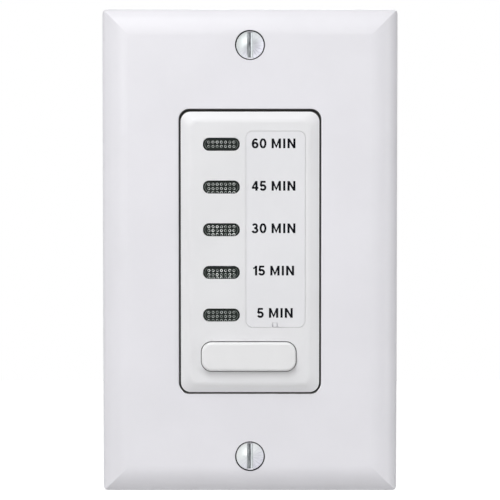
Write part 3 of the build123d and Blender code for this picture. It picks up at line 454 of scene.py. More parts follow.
def lip_painted_shade(finish):
    """Painted shade on the wall and the lip of the plate's opening, reaching furthest along the sill."""
    _, _, z = finish.axes(finish.place())
    spread = LIP_SHADE + (1 - z.between(*SILL)) * SILL_SHADE
    return 1 - (off_outline(finish, *OPENING) - spread).between(0.0, SHADE_EDGE)


def skirt_painted_shade(finish):
    """Painted shade on the timer's sides, below the plate's front."""
    low = (face_low.x, plate_front + SKIRT_UNSHADED, face_low.z)
    high = (face_high.x, plate_front + GAP_DEPTH, face_high.z)
    return in_box(finish, low, high)


print("plate's front at mm:", round(plate_front / MM, 2), "face's front:", round(face_low.y / MM, 2))

# %% Painted shade and a painted shadow round the button
BUTTON = ((-0.3 * MM, -24.65 * MM), (22.1 * MM, 6.8 * MM), 2.4 * MM)
BELOW_BUTTON = (-28.6 * MM, -26.6 * MM)
GUIDE_SHADE = 0.18 * MM
SHADOW_REACH = 2.2 * MM
SHADOW_SHARE = 0.27
BUTTON_UNSHADED = face_low.y - 0.1 * MM


def guide_painted_shade(finish):
    """A fine line of painted shade on the face along the button's gap, and a soft painted shadow below it.
    """
    away = off_outline(finish, *BUTTON)
    line = 1 - (away - GUIDE_SHADE).between(0.0, SHADE_EDGE)
    _, _, z = finish.axes(finish.place())
    # The film below the button is a painted shadow, darkest at its lower edge and fading over about two mm.
    film = (1 - away.between(0.0, SHADOW_REACH)) * (1 - z.between(*BELOW_BUTTON)) * SHADOW_SHARE
    return finish.maths("MAXIMUM", line, film)


def button_painted_shade(finish):
    """Painted shade on the button's sides, from just above the face down into the gap."""
    _, y, _ = finish.axes(finish.place())
    return y.between(BUTTON_UNSHADED, BUTTON_UNSHADED + SHADE_EDGE)


# The masks in brackets paint shade into the gaps of these mouldings.
keep(white_plastic, "plate_plastic", tone(232, 231, 236), 0.42, 0.0022 * MM, 0.1, [lip_painted_shade])
keep(white_plastic, "face_plastic", tone(231, 231, 233), 0.42, 0.003 * MM, 0.1, [skirt_painted_shade, guide_painted_shade])
keep(white_plastic, "label_plastic", tone(231, 231, 234), 0.44, 0.003 * MM, 0.1)
keep(white_plastic, "button_plastic", tone(233, 233, 234), 0.4, 0.003 * MM, 0.15, [button_painted_shade])

# %% [markdown]
# ## Smoked windows
#
# The windows are dark see-through plastic over lamps that are off, so what shows is a smooth near-black with
# a green tinge. True glass nodes would cost time and show the dark well behind, which looks the same. A dark
# base gives that depth. Its shine is kept low, because in a white studio each reflection veils the dark.

# %% Smoked plastic
def smoked_plastic(name, deep, light):
    """Deep grey-green under a clear gloss, with faint wipe marks in the gloss."""
    finish = Finish(name)
    wipes = finish.noise(1.0 * MM, at=finish.stretched((0.3, 1.0, 1.6)))
    depth = finish.noise(2.2 * MM, detail=1.0)
    finish.set(Base_Color=finish.blend_colour(deep, light, depth))
    finish.set(Roughness=0.12 + wipes * 0.14)
    finish.set(Specular_IOR_Level=0.12, Coat_Weight=0.06, Coat_Roughness=0.08)
    finish.bump(finish.noise(0.3 * MM), 0.0015 * MM)
    return finish.material


keep(smoked_plastic, "smoked_lens", tone(25, 29, 27), tone(40, 46, 43))
# The rim finish is much paler than the lens: a painted highlight on the short arcs at each window's ends.
keep(smoked_plastic, "window_rim", tone(36, 41, 39), tone(122, 128, 124))

# %% [markdown]
# ## Plated screws
#
# The plate screws are nickel plated. Their domed heads are polished on a wheel, which leaves fine marks
# that run out from the middle. The angle round each screw's own middle gives such marks: it is the
# arctangent of the two distances from the middle, and both screws share one formula because they stand at
# the same height above and below the origin. The lower right of each head is painted duller, as painted
# shade on the side away from the lamps, and the marks show grey only there. The wheel never reaches into
# the slot, so the slot keeps the dull lines of the saw; its middle is painted dark, a painted shade deep in
# the slot, and one bright strip at the right is a painted highlight. The lamps stand high and would burn
# out the upper head, so its nickel is painted a little darker, a painted shade.

# %% Nickel with marks that run outwards
screw_low, screw_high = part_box("plate_screws")
SCREW_HEIGHT = (screw_high.z - screw_low.z) / 2 - (screw_high.x - screw_low.x) / 2
LOWER_NICKEL = tone(196, 199, 199)
UPPER_NICKEL_SHADED = tone(165, 169, 169)
SHADED_NICKEL = tone(196, 196, 204)
MARK_GREY = tone(112, 112, 124)
HEAD_REACH = 4 * MM


def polished_head(finish, x, z):
    """The heads' colour, with painted shade on each lower right and on the upper head, and the wheel's
    marks.
    """
    off_middle = finish.maths("ABSOLUTE", z) - SCREW_HEIGHT
    angle = finish.maths("ARCTAN2", x, off_middle)
    distance = finish.maths("SQRT", x * x + off_middle * off_middle)
    fan = finish.point(angle * 14.0, distance * 300.0, 0.0)
    marks = finish.noise(1.0, detail=3.0, rough=0.6, at=fan)
    cloud = finish.noise(1.8 * MM, detail=1.0)
    slope = (x * 0.8 - z + finish.maths("SIGN", z) * SCREW_HEIGHT) / HEAD_REACH
    # Painted shade: each head is duller on its lower right, away from the lamps, and the upper head darker.
    shaded_side = (slope + cloud * 0.5).between(-0.4, 1.2)
    lit_side = finish.blend_colour(LOWER_NICKEL, UPPER_NICKEL_SHADED, z.between(-10 * MM, 10 * MM))
    polished = finish.blend_colour(lit_side, SHADED_NICKEL, shaded_side)
    return finish.blend_colour(polished, MARK_GREY, marks.between(0.45, 0.7) * shaded_side * 0.6), marks


# %% The slot: saw marks, painted shade and a painted highlight
SLOT_HALF_WIDTH = 0.65 * MM
SLOT_BURR = 0.14 * MM
SAW_PITCH = 0.16 * MM
SAW_STROKE = 2.6 * MM
SAW_WOBBLE = 0.2 * MM
HIGHLIGHT_START = (0.3 * MM, 0.42 * MM)
HIGHLIGHT_STOP = (0.5 * MM, 0.6 * MM)
SHADE_CORE_SHIFT = 0.03 * MM
SHADE_CORE_REACH = 0.6 * MM
# The slot's dark middle is painted shade, and its bright strip at the right a painted highlight.
SLOT_SHADE = tone(22, 24, 32)
SLOT_GREY = tone(190, 194, 196)
SLOT_HIGHLIGHT = tone(212, 216, 218)


def sawn_slot(finish, x, z):
    """The slot's colour: saw marks round a core of painted shade, and a painted highlight at the right."""
    sawn = finish.noise(1.0, detail=3.0, rough=0.7, at=finish.point(x / SAW_PITCH, 0.0, z / SAW_STROKE))
    wobble = x + sawn * SAW_WOBBLE
    highlight_strip = wobble.between(*HIGHLIGHT_START) * (1 - wobble.between(*HIGHLIGHT_STOP) * 0.8)
    off_shade_core = finish.maths("ABSOLUTE", x + SHADE_CORE_SHIFT) / SHADE_CORE_REACH
    streaks_and_shade = finish.blend_colour(SLOT_SHADE, SLOT_GREY, sawn.between(0.34, 0.7) * 0.6 + off_shade_core * 0.45)
    return finish.blend_colour(streaks_and_shade, SLOT_HIGHLIGHT, highlight_strip)


def polished_nickel(name):
    """Bright nickel with marks that fan out on each head, and a dull slot of painted shade and highlight."""
    finish = Finish(name)
    x, _, z = finish.axes(finish.place())
    polished, marks = polished_head(finish, x, z)
    slot_colour = sawn_slot(finish, x, z)
    in_slot = 1 - finish.maths("ABSOLUTE", x).between(SLOT_HALF_WIDTH, SLOT_HALF_WIDTH + SLOT_BURR)
    finish.set(Base_Color=finish.blend_colour(polished, slot_colour, in_slot))
    finish.set(Metallic=1.0, Roughness=0.34 + marks * 0.2 + in_slot * 0.2)
    finish.bump(marks, 0.006 * MM, 0.6)
    return finish.material


keep(polished_nickel, "screw_nickel")

# %% [markdown]
# ## Zinc plate, black box, fibre and earth paint
#
# Behind the plate the parts are plainer. The strap and its screws are zinc plated steel: rolled metal with
# faint lines along the roll and patches of brighter and duller plating. The box is black plastic from an
# etched tool. The washers are vulcanised fibre, which is pressed paper, so its flecks lie flat. The earth
# screw is dyed green, and the dye is thin on its rubbed edges.

# %% Zinc
def zinc_plate(name, colour, roll):
    """Zinc plated steel, with lines along the roll and cloudy plating."""
    finish = Finish(name)
    lines = finish.noise(0.35 * MM, detail=3.0, at=finish.stretched(roll))
    cells = {"Vector": finish.place(), "Scale": 1 / (2.6 * MM)}
    spangle = finish.add("ShaderNodeTexVoronoi", {"feature": "F1"}, cells)
    tint = finish.blend_colour(shaded(colour, 0.86), shaded(colour, 1.08), spangle.between(0.1, 0.7))
    finish.set(Base_Color=tint, Metallic=0.92)
    finish.set(Roughness=0.26 + lines * 0.2 + spangle * 0.06)
    finish.bump(lines, 0.004 * MM)
    return finish.material


keep(zinc_plate, "strap_zinc", tone(196, 199, 202), (1.0, 1.0, 0.06))
keep(zinc_plate, "screw_zinc", tone(205, 203, 190), (1.0, 0.3, 1.0))

# %% Black box
def etched_black(name):
    """Matte black plastic with the grain of an etched tool, a little grey where it was handled."""
    finish = Finish(name)
    grain = finish.noise(0.22 * MM, detail=3.0)
    handled = finish.noise(9 * MM, detail=3.0).between(0.45, 0.75)
    finish.set(Base_Color=finish.blend_colour(tone(34, 34, 36), tone(52, 51, 52), handled * 0.6))
    finish.set(Roughness=0.5 + grain * 0.2)
    finish.bump(grain, 0.02 * MM, 0.8)
    return finish.material


keep(etched_black, "housing_black")

# %% Fibre
def pressed_fibre(name):
    """Brown fibre with flecks that lie in its plane."""
    finish = Finish(name)
    flecks = finish.noise(0.4 * MM, detail=4.0, at=finish.stretched((0.5, 4.0, 1.6)))
    finish.set(Base_Color=finish.blend_colour(tone(120, 78, 44), tone(176, 128, 80), flecks))
    finish.set(Roughness=0.8 + flecks * 0.1)
    finish.bump(flecks, 0.02 * MM)
    return finish.material


keep(pressed_fibre, "fibre")

# %% Earth green
def dyed_green(name):
    """Green dye on plated steel, rubbed thin in patches."""
    finish = Finish(name)
    rubbed = finish.noise(0.9 * MM, detail=4.0, rough=0.6).between(0.55, 0.75)
    finish.set(Base_Color=finish.blend_colour(tone(18, 116, 66), tone(120, 150, 128), rubbed * 0.7))
    finish.set(Metallic=0.45 + rubbed * 0.4, Roughness=0.3 + rubbed * 0.15)
    finish.bump(rubbed, 0.006 * MM)
    return finish.material


keep(dyed_green, "earth_green")

# %% [markdown]
# ## What is sealed inside
#
# The board and its parts are hidden, but the same model is opened up by others, so they get true finishes
# too. One recipe with a few choices covers the plain ones. The board, the coil and the resistor have
# patterns of their own: tracks, turns of wire and painted rings.

# %% The board
def solder_mask(name):
    """Green lacquer over copper tracks that stand out by the thickness of the foil."""
    finish = Finish(name)
    x, _, z = finish.axes(finish.place())
    cells = {"Vector": finish.point(x, z * 0.35, 0.0), "Scale": 1 / (3.2 * MM), "Randomness": 0.8}
    settings = {"feature": "DISTANCE_TO_EDGE", "distance": "MANHATTAN"}
    track = finish.add("ShaderNodeTexVoronoi", settings, cells).between(0.10, 0.14)
    finish.set(Base_Color=finish.blend_colour(tone(20, 92, 48), tone(34, 122, 62), track))
    finish.set(Roughness=0.3 + finish.noise(1.5 * MM) * 0.1)
    finish.bump(track, 0.035 * MM, 0.6)
    return finish.material


keep(solder_mask, "board_green")

# %% The coil
WIRE_THICKNESS = 0.14 * MM


def wound_copper(name):
    """Lacquered copper wire, laid turn by turn round an upright spool."""
    finish = Finish(name)
    _, _, z = finish.axes(finish.place())
    turn = finish.maths("FRACT", z / WIRE_THICKNESS)
    bulge = turn * (1 - turn) * 4.0
    dull = finish.noise(1.5 * MM)
    # Painted shade and highlight: the copper is darker in the grooves between turns and lighter on their
    # crowns.
    copper = finish.blend_colour(tone(120, 52, 22), tone(196, 104, 52), bulge * 0.8 + dull * 0.2)
    finish.set(Base_Color=copper, Metallic=0.85, Roughness=0.28 + dull * 0.12)
    finish.bump(bulge, 0.04 * MM)
    return finish.material


keep(wound_copper, "copper_wire")

# %% The resistor, with its rings at shares of its length
PAINTED_RINGS = (
    (0.34, tone(150, 84, 30)),
    (0.42, tone(20, 20, 20)),
    (0.50, tone(190, 40, 30)),
    (0.62, tone(170, 140, 50)),
)


def ringed_resistor(name, node):
    """Grey flameproof lacquer with painted rings, placed along the resistor's own length."""
    finish = Finish(name)
    low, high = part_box(node)
    x, _, _ = finish.axes(finish.place())
    share = (x - low.x) / (high.x - low.x)
    tint = finish.blend_colour(tone(150, 158, 146), tone(168, 172, 160), finish.noise(1.2 * MM))
    for middle, paint in PAINTED_RINGS:
        near = finish.maths("ABSOLUTE", share - middle)
        tint = finish.blend_colour(tint, paint, 1 - near.between(0.016, 0.02))
    finish.set(Base_Color=tint, Roughness=0.6 + finish.noise(0.3 * MM) * 0.15)
    finish.bump(finish.noise(0.4 * MM), 0.02 * MM)
    return finish.material


keep(ringed_resistor, "resistor_grey", "power_resistor")

# %% Plain finishes: a colour, a gloss, the grain's size and depth, and 1 for metal
PLAIN_FINISHES = {
    "light_box_white": (tone(232, 232, 228), 0.6, 0.3 * MM, 0.01 * MM),
    "switch_black": (tone(38, 38, 38), 0.5, 0.12 * MM, 0.006 * MM),
    "sheet_steel": (tone(206, 206, 204), 0.3, 0.1 * MM, 0.002 * MM, 1.0),
    "relay_plastic": (tone(46, 84, 146), 0.38, 0.2 * MM, 0.004 * MM),
    "relay_iron": (tone(168, 166, 160), 0.42, 0.15 * MM, 0.003 * MM, 1.0),
    "bobbin_white": (tone(226, 222, 208), 0.5, 0.2 * MM, 0.005 * MM),
    "contact_brass": (tone(214, 170, 96), 0.28, 0.12 * MM, 0.002 * MM, 1.0),
    "capacitor_yellow": (tone(222, 178, 62), 0.36, 0.3 * MM, 0.01 * MM),
    "capacitor_sleeve": (tone(40, 46, 74), 0.3, 0.25 * MM, 0.004 * MM),
    "varistor_blue": (tone(50, 96, 166), 0.34, 0.8 * MM, 0.04 * MM),
    "component_black": (tone(40, 40, 42), 0.5, 0.1 * MM, 0.006 * MM),
    "lamp_clear": (tone(226, 92, 76), 0.14, 0.4 * MM, 0.002 * MM),
}


def plain_finish(name, colour, gloss, grain, depth, metal=0.0):
    """A finish for a small part: two tones of one colour, uneven gloss, and a grain."""
    finish = Finish(name)
    cloud = finish.noise(12 * grain, detail=3.0)
    texture = finish.noise(grain)
    finish.set(Base_Color=finish.blend_colour(shaded(colour, 0.88), shaded(colour, 1.08), cloud))
    finish.set(Metallic=metal, Roughness=gloss + (texture - 0.5) * 0.16)
    finish.bump(texture, depth)
    return finish.material


for name, look in PLAIN_FINISHES.items():
    keep(plain_finish, name, *look)

# %% One finish for every slot of the record
for part in frame["record"]["subparts"]:
    materials = nodes[part["node"]].data.materials
    materials.clear()
    materials.append(finishes[part["material_slot"]])
print("finishes:", len(finishes), "on", len(nodes), "nodes")

# %% [markdown]
# ## Pieces from meshes
#
# Apart from the print, all the pieces below are made the same way. Rows of corners are laid out by a
# formula, and each row is joined to the next, as boat builders skin a row of frames. A modifier stack would
# hide these steps, and a primitive would have to be bent into shape. Every finished mesh becomes an object
# that rides on one body of the model and moves with it.

# %% Skins and pieces
def skin(mesh, loops, closed=False):
    """Faces from each loop of corners to the next, and a cap on both ends of an open run."""
    followers = loops[1:] + loops[:1] if closed else loops[1:]
    for first, second in zip(loops, followers):
        for part in range(len(first)):
            after = (part + 1) % len(first)
            mesh.faces.new((first[part], first[after], second[after], second[part]))
    if not closed:
        mesh.faces.new(loops[0][::-1])
        mesh.faces.new(loops[-1])


def piece_from(mesh, name, material, body, smooth=False):
    """Turn a finished mesh into a piece that rides on a body of the model."""
    bmesh.ops.recalc_face_normals(mesh, faces=mesh.faces)
    data = bpy.data.meshes.new(name)
    mesh.to_mesh(data)
    mesh.free()
    data.materials.append(material)
    for polygon in data.polygons:
        polygon.use_smooth = smooth
    piece = bpy.data.objects.new(name, data)
    bpy.context.scene.collection.objects.link(piece)
    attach(piece, body)
    print(name, "faces:", len(data.polygons))
    return piece


# %% [markdown]
# ## Printed times
#
# The label carries five times in a bold plain lettering. Blender's own text object could set them, but its
# built-in font has a different 1 and is too thin. Each character is really a few broad pen strokes, so here
# a stroke is a line or an arc with a width, and a character is the union of its strokes. The union comes
# from Blender's own triangulation, which keeps every piece of the plane that some stroke covers. The ink is
# a film of its own, so it rides on the label and leaves with it.

# %% Strokes, in shares of the height of a capital
STEM = 0.225
BAR = 0.195
SHARPEST_TURN = 0.35


def arc(centre, radii, start, stop, steps=14):
    """Points on an ellipse, from one angle to another in degrees."""
    turns = [math.radians(start + (stop - start) * step / steps) for step in range(steps + 1)]
    return [(centre[0] + radii[0] * math.cos(t), centre[1] + radii[1] * math.sin(t)) for t in turns]


def stroke(points, width):
    """The outline of a pen stroke of this width along some points, cut square at both ends."""
    left, right = [], []
    path = [Vector(point) for point in points]
    for index, point in enumerate(path):
        before = path[max(index - 1, 0)]
        after = path[min(index + 1, len(path) - 1)]
        incoming = (point - before) if index else (after - point)
        outgoing = (after - point) if index < len(path) - 1 else incoming
        side_in = Vector((-incoming.y, incoming.x)).normalized()
        side_out = Vector((-outgoing.y, outgoing.x)).normalized()
        side = (side_in + side_out).normalized()
        reach = width / 2 / max(side.dot(side_in), SHARPEST_TURN)
        left.append(point + side * reach)
        right.append(point - side * reach)
    return right + left[::-1]


print("corners of a bent stroke:", len(stroke([(0, 0), (0, 1), (1, 1)], STEM)))

# %% Characters, in the same shares
def upright(x):
    """A vertical stem."""
    return stroke([(x, 0.0), (x, 1.0)], STEM)


def ring(centre, radii):
    """A closed bowl, made of two half strokes."""
    return [stroke(arc(centre, radii, start, start + 180), (STEM + BAR) / 2) for start in (-90, 90)]


def characters():
    """Each character's width and its strokes."""
    m_side, n_side, edge = 0.96, 0.82, STEM / 2
    six_back = arc((0.37, 0.44), (0.275, 0.475), 188, 92)
    six_hook = arc((0.37, 0.735), (0.19, 0.18), 80, 22)
    return {
        "0": (0.67, ring((0.335, 0.5), (0.245, 0.425))),
        "1": (0.40, [upright(0.305), stroke([(0.0, 0.72), (0.20, 0.80), (0.30, 0.99)], 0.15)]),
        "3": (0.67, [
            stroke(arc((0.315, 0.725), (0.205, 0.195), 165, -92), BAR),
            stroke(arc((0.315, 0.29), (0.25, 0.215), 92, -168), (STEM + BAR) / 2),
            stroke([(0.23, 0.52), (0.34, 0.52)], 0.14),
        ]),
        "4": (0.67, [
            upright(0.475),
            stroke([(0.0, 0.295), (0.67, 0.295)], BAR),
            stroke([(0.44, 0.97), (0.065, 0.30)], 0.165),
        ]),
        "5": (0.67, [
            stroke([(0.60, 0.917), (0.165, 0.917), (0.10, 0.47)], BAR),
            stroke(arc((0.325, 0.325), (0.25, 0.24), 152, -160), (STEM + BAR) / 2),
        ]),
        "6": (0.67, ring((0.345, 0.32), (0.235, 0.24)) + [stroke(six_back + six_hook, BAR)]),
        "M": (m_side, [
            upright(edge),
            upright(m_side - edge),
            stroke([(edge + 0.01, 1.0), (m_side / 2, 0.04), (m_side - edge - 0.01, 1.0)], 0.19),
        ]),
        "I": (STEM, [upright(edge)]),
        "N": (n_side, [
            upright(edge),
            upright(n_side - edge),
            stroke([(edge + 0.01, 0.98), (n_side - edge - 0.01, 0.02)], 0.20),
        ]),
    }


print("characters:", " ".join(characters()))

# %% From strokes to a film of ink
CAP_HEIGHT = 2.27 * MM
INK_THICKNESS = 0.02 * MM
INK_SINK = 0.005 * MM
LETTER_GAP = 0.15
PAIR_GAPS = {"MI": 0.23, "IN": 0.22}
WORD_GAP = 0.40
OVERSHOOT = 0.012
KEEP_INSIDE = 1
SAME_POINT = 1e-5


def covered(outlines):
    """Corners and triangles of all that some outline covers, cut to the height of a capital."""
    points, faces = [], []
    for outline in outlines:
        faces.append(list(range(len(points), len(points) + len(outline))))
        points += [Vector((p.x, min(max(p.y, -OVERSHOOT), 1 + OVERSHOOT))) for p in outline]
    corners, _, triangles, _, _, sources = delaunay_2d_cdt(points, [], faces, KEEP_INSIDE, SAME_POINT)
    return corners, [triangle for triangle, source in zip(triangles, sources) if source]


def ink_line(name, words, middle_x, foot_z, face_y):
    """One line of print: a thin film on the label's face."""
    letters = characters()
    mesh = bmesh.new()
    pen = 0.0
    for index, letter in enumerate(words):
        if letter == " ":
            pen += WORD_GAP
            continue
        width, outlines = letters[letter]
        corners, triangles = covered(outlines)
        made = [mesh.verts.new((pen + c.x, 0.0, c.y)) for c in corners]
        for triangle in triangles:
            mesh.faces.new([made[corner] for corner in triangle])
        pen += width + PAIR_GAPS.get(words[index:index + 2], LETTER_GAP)
    pen -= LETTER_GAP
    loose = [v for v in mesh.verts if not v.link_faces]
    bmesh.ops.delete(mesh, geom=loose, context="VERTS")
    raised = bmesh.ops.extrude_face_region(mesh, geom=list(mesh.faces))
    front = [item for item in raised["geom"] if isinstance(item, bmesh.types.BMVert)]
    bmesh.ops.translate(mesh, verts=front, vec=(0.0, -INK_THICKNESS / CAP_HEIGHT, 0.0))
    start = Vector((middle_x - pen / 2 * CAP_HEIGHT, face_y + INK_SINK, foot_z))
    for vert in mesh.verts:
        vert.co = start + vert.co * CAP_HEIGHT
    return piece_from(mesh, name, finishes["printing_ink"], "label")


# %% Ink
def printing_ink(name):
    """Blue-black ink, with tiny pinholes and a slightly uneven film."""
    finish = Finish(name)
    pinholes = finish.noise(0.09 * MM, detail=1.0).between(0.68, 0.76)
    finish.set(Base_Color=finish.blend_colour(tone(10, 10, 16), tone(50, 50, 58), pinholes))
    finish.set(Roughness=0.6 + finish.noise(0.4 * MM) * 0.15, Specular_IOR_Level=0.1)
    finish.bump(finish.noise(0.1 * MM), 0.004 * MM)
    return finish.material


keep(printing_ink, "printing_ink")

# %% Five lines of print
TIMES = {"60_min": "60 MIN", "45_min": "45 MIN", "30_min": "30 MIN", "15_min": "15 MIN", "5_min": "5 MIN"}
MIDDLE_ROW = 2
PRINT_SHIFT = -0.46 * MM
SHORT_PRINT_SHIFT = -0.14 * MM
PRINT_RISE = 0.35 * MM
PRINT_PITCH = 9.925 * MM
label_low, label_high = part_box("label_insert")
label_middle = (label_low.x + label_high.x) / 2
window_low, window_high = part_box("lens_30_min")
middle_foot = (window_low.z + window_high.z - CAP_HEIGHT) / 2 + PRINT_RISE
for row, (name, words) in enumerate(TIMES.items()):
    shift = SHORT_PRINT_SHIFT if name == "5_min" else PRINT_SHIFT
    foot = middle_foot + (MIDDLE_ROW - row) * PRINT_PITCH
    line = ink_line("print_" + name, words, label_middle + shift, foot, label_low.y)
    print(line.name, "mm wide:", round(line.dimensions.x / MM, 2))

# %% [markdown]
# ## The pry tab
#
# The label can be changed: a fingernail or a small blade goes under a tab in its lower edge. The model has
# the slanting notch, and the tab stands in it between two thin slits, which is what shows as two short dark
# ticks. It is a small pad with eased edges: three outlines of the same shape, the front one a little
# smaller, joined side to side.

# %% A pad with eased edges
def pad(mesh, low_x, high_x, low_z, high_z, front, back, ease):
    """A flat pad that faces the front, whose front edges are eased by a small slope."""
    loops = []
    for y, inset in ((back, 0.0), (front + ease, 0.0), (front, ease)):
        sides = (low_x + inset, high_x - inset)
        ends = (low_z + inset, high_z - inset)
        corners = [(sides[0], ends[0]), (sides[1], ends[0]), (sides[1], ends[1]), (sides[0], ends[1])]
        loops.append([mesh.verts.new((x, y, z)) for x, z in corners])
    skin(mesh, loops)


NOTCH_SHIFT = -0.15 * MM
TAB_HALF_WIDTH = 0.42 * MM
TAB_HEIGHT = 1.0 * MM
TAB_DEPTH = 0.5 * MM
TAB_DROP = 0.04 * MM
mesh = bmesh.new()
tab_x = label_middle + NOTCH_SHIFT
tab_sides = (tab_x - TAB_HALF_WIDTH, tab_x + TAB_HALF_WIDTH)
tab_ends = (label_low.z + TAB_DROP, label_low.z + TAB_HEIGHT)
pad(mesh, *tab_sides, *tab_ends, label_low.y + TAB_DROP, label_low.y + TAB_DEPTH, TAB_DROP)
piece_from(mesh, "pry_tab", finishes["label_plastic"], "label")

# %% [markdown]
# ## Beads in the windows
#
# Each window is moulded with rows of small round lenses that spread the lamp's light, and each shows as a
# pale ring round a dark middle. A texture of dots would stay flat. Here every bead is a raised ring, half a
# circle in section, so it catches its own highlight, and its colour is painted pale too: a painted
# highlight, strongest in the windows below the middle. The rows don't sit at the same height in each window,
# and the lowest row is cut off by the window's edge, so a ring may also be an arc. At each window's two ends
# the moulded edge shows as a short pale arc, which is the same kind of ridge along a longer path, painted
# paler than the lens as a painted highlight.

# %% A ridge along a path
RIDGE_SIDES = 5


def ridge(mesh, path, width, height, y, closed):
    """A raised line, half a circle in section, along points on a face that looks to the front."""
    count = len(path)
    loops = []
    for index, (x, z) in enumerate(path):
        before = path[index - 1] if index or closed else path[0]
        after = path[(index + 1) % count] if index < count - 1 or closed else path[-1]
        along = Vector((after[0] - before[0], after[1] - before[1])).normalized()
        loop = []
        for part in range(RIDGE_SIDES):
            turn = math.pi * part / (RIDGE_SIDES - 1)
            side = math.cos(turn) * width / 2
            lift = math.sin(turn) * height
            loop.append(mesh.verts.new((x + along.y * side, y - lift, z - along.x * side)))
        loops.append(loop)
    skin(mesh, loops, closed)


# %% Beads
BEAD_RADIUS = 0.26 * MM
BEAD_WIDTH = 0.15 * MM
BEAD_HEIGHT = 0.05 * MM
BEAD_STEPS = 20
DEEPEST_CUT = 0.9


def bead(mesh, x, y, z, lowest):
    """One raised ring, or the arc of it that lies above the lowest height."""
    whole = z - BEAD_RADIUS - BEAD_WIDTH / 2 >= lowest
    cut = math.degrees(math.asin(max(min((lowest - z) / BEAD_RADIUS, DEEPEST_CUT), -DEEPEST_CUT)))
    start, stop = (0.0, 360.0) if whole else (cut, 180.0 - cut)
    path = arc((x, z), (BEAD_RADIUS, BEAD_RADIUS), start, stop, BEAD_STEPS)
    ridge(mesh, path[:-1] if whole else path, BEAD_WIDTH, BEAD_HEIGHT, y, whole)


# %% The beads' colour: a painted highlight
LOW_WINDOWS = (-18 * MM, -5 * MM)
HIGH_WINDOWS = (0.0, 20 * MM)


def bead_highlight_finish(name):
    """A bead's pale ring, a painted highlight: grey-green and cloudy, brightest in the windows below the
    middle.
    """
    finish = Finish(name)
    cloud = finish.noise(0.8 * MM)
    _, _, z = finish.axes(finish.place())
    # The pale of each ring is a painted highlight, and how much of it shows depends on the window's height.
    lit = (0.3 + z.between(*LOW_WINDOWS) * 0.7) * (1 - z.between(*HIGH_WINDOWS) * 0.5)
    clear = cloud.between(0.4, 0.62) * lit
    finish.set(Base_Color=finish.blend_colour(tone(114, 122, 117), tone(252, 255, 253), clear))
    finish.set(Roughness=0.2 + cloud * 0.15, Coat_Weight=0.3)
    finish.bump(finish.noise(0.1 * MM), 0.001 * MM)
    return finish.material


keep(bead_highlight_finish, "pale_bead")

# %% A grid of beads, with its rows at heights in mm from the window's middle
BEAD_ROWS = {
    "60_min": (0.5, -0.5),
    "45_min": (0.66, -0.36, -1.3),
    "30_min": (0.7, -0.2, -1.1),
    "15_min": (0.45, -0.5, -1.3),
    "5_min": (0.63, -0.33, -1.3),
}
BEAD_PITCH = 0.98 * MM
BEAD_COLUMNS = 7
WINDOW_EDGE = 0.72 * MM


def bead_grid(row, low, high):
    """The beads of one window, placed from the corners of its lens."""
    middle = (low + high) / 2
    mesh = bmesh.new()
    for height in BEAD_ROWS[row]:
        for column in range(BEAD_COLUMNS):
            x = middle.x + (column - (BEAD_COLUMNS - 1) / 2) * BEAD_PITCH
            bead(mesh, x, low.y + BEAD_HEIGHT / 5, middle.z + height * MM, low.z + WINDOW_EDGE)
    piece_from(mesh, "beads_" + row, finishes["pale_bead"], "timer", smooth=True)


# %% The arcs at a window's ends
ARC_INSET = 1.02 * MM
ARC_WIDTH = 0.18 * MM
ARC_HEIGHT = 0.07 * MM
ARC_TURN = 62


def end_arcs(row, low, high):
    """The two arcs of one window, placed from the corners of its lens."""
    middle = (low + high) / 2
    round_end = (high.z - low.z) / 2 - ARC_INSET
    reach = (high.x - low.x) / 2 - ARC_INSET - round_end
    mesh = bmesh.new()
    for side, turn in ((1, 0), (-1, 180)):
        centre = (middle.x + side * reach, middle.z)
        end = arc(centre, (round_end, round_end), turn - ARC_TURN, turn + ARC_TURN)
        ridge(mesh, end, ARC_WIDTH, ARC_HEIGHT, low.y + ARC_HEIGHT / 5, False)
    # These arcs get the paler rim finish, a painted highlight.
    piece_from(mesh, "window_edge_" + row, finishes["window_rim"], "timer", smooth=True)


# %% Beads and arcs for every window
for row in BEAD_ROWS:
    low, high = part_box("lens_" + row)
    bead_grid(row, low, high)
    end_arcs(row, low, high)

# %% [markdown]
# ## Dark rings round the screw heads
#
# Each head sinks into its countersink, and a fine dark line runs round the bright metal. It is painted
# shade: a thin near-black ring laid on the cone, where the gap between head and countersink lies in
# shadow. A lathe shape gives it: one small profile turned about the screw's own axis.

# %% A turned ring
def turned(mesh, profile, x, z, steps=64):
    """A closed profile of (radius, y) pairs turned about an axis that runs to the front."""
    loops = []
    for step in range(steps):
        turn = math.tau * step / steps
        across, up = math.cos(turn), math.sin(turn)
        loops.append([mesh.verts.new((x + r * across, y, z + r * up)) for r, y in profile])
    skin(mesh, loops, closed=True)


# %% Near-black for the rings of painted shade
def washer_rubber(name):
    """Near-black with a grey bloom, thicker in some places than in others: the painted shade round each
    head.
    """
    finish = Finish(name)
    bloom = finish.noise(0.7 * MM, detail=3.0)
    finish.set(Base_Color=finish.blend_colour(tone(14, 14, 16), tone(60, 60, 62), bloom.between(0.4, 0.8)))
    finish.set(Roughness=0.8 + bloom * 0.1, Specular_IOR_Level=0.2)
    finish.bump(bloom, 0.01 * MM)
    return finish.material


keep(washer_rubber, "washer_rubber")

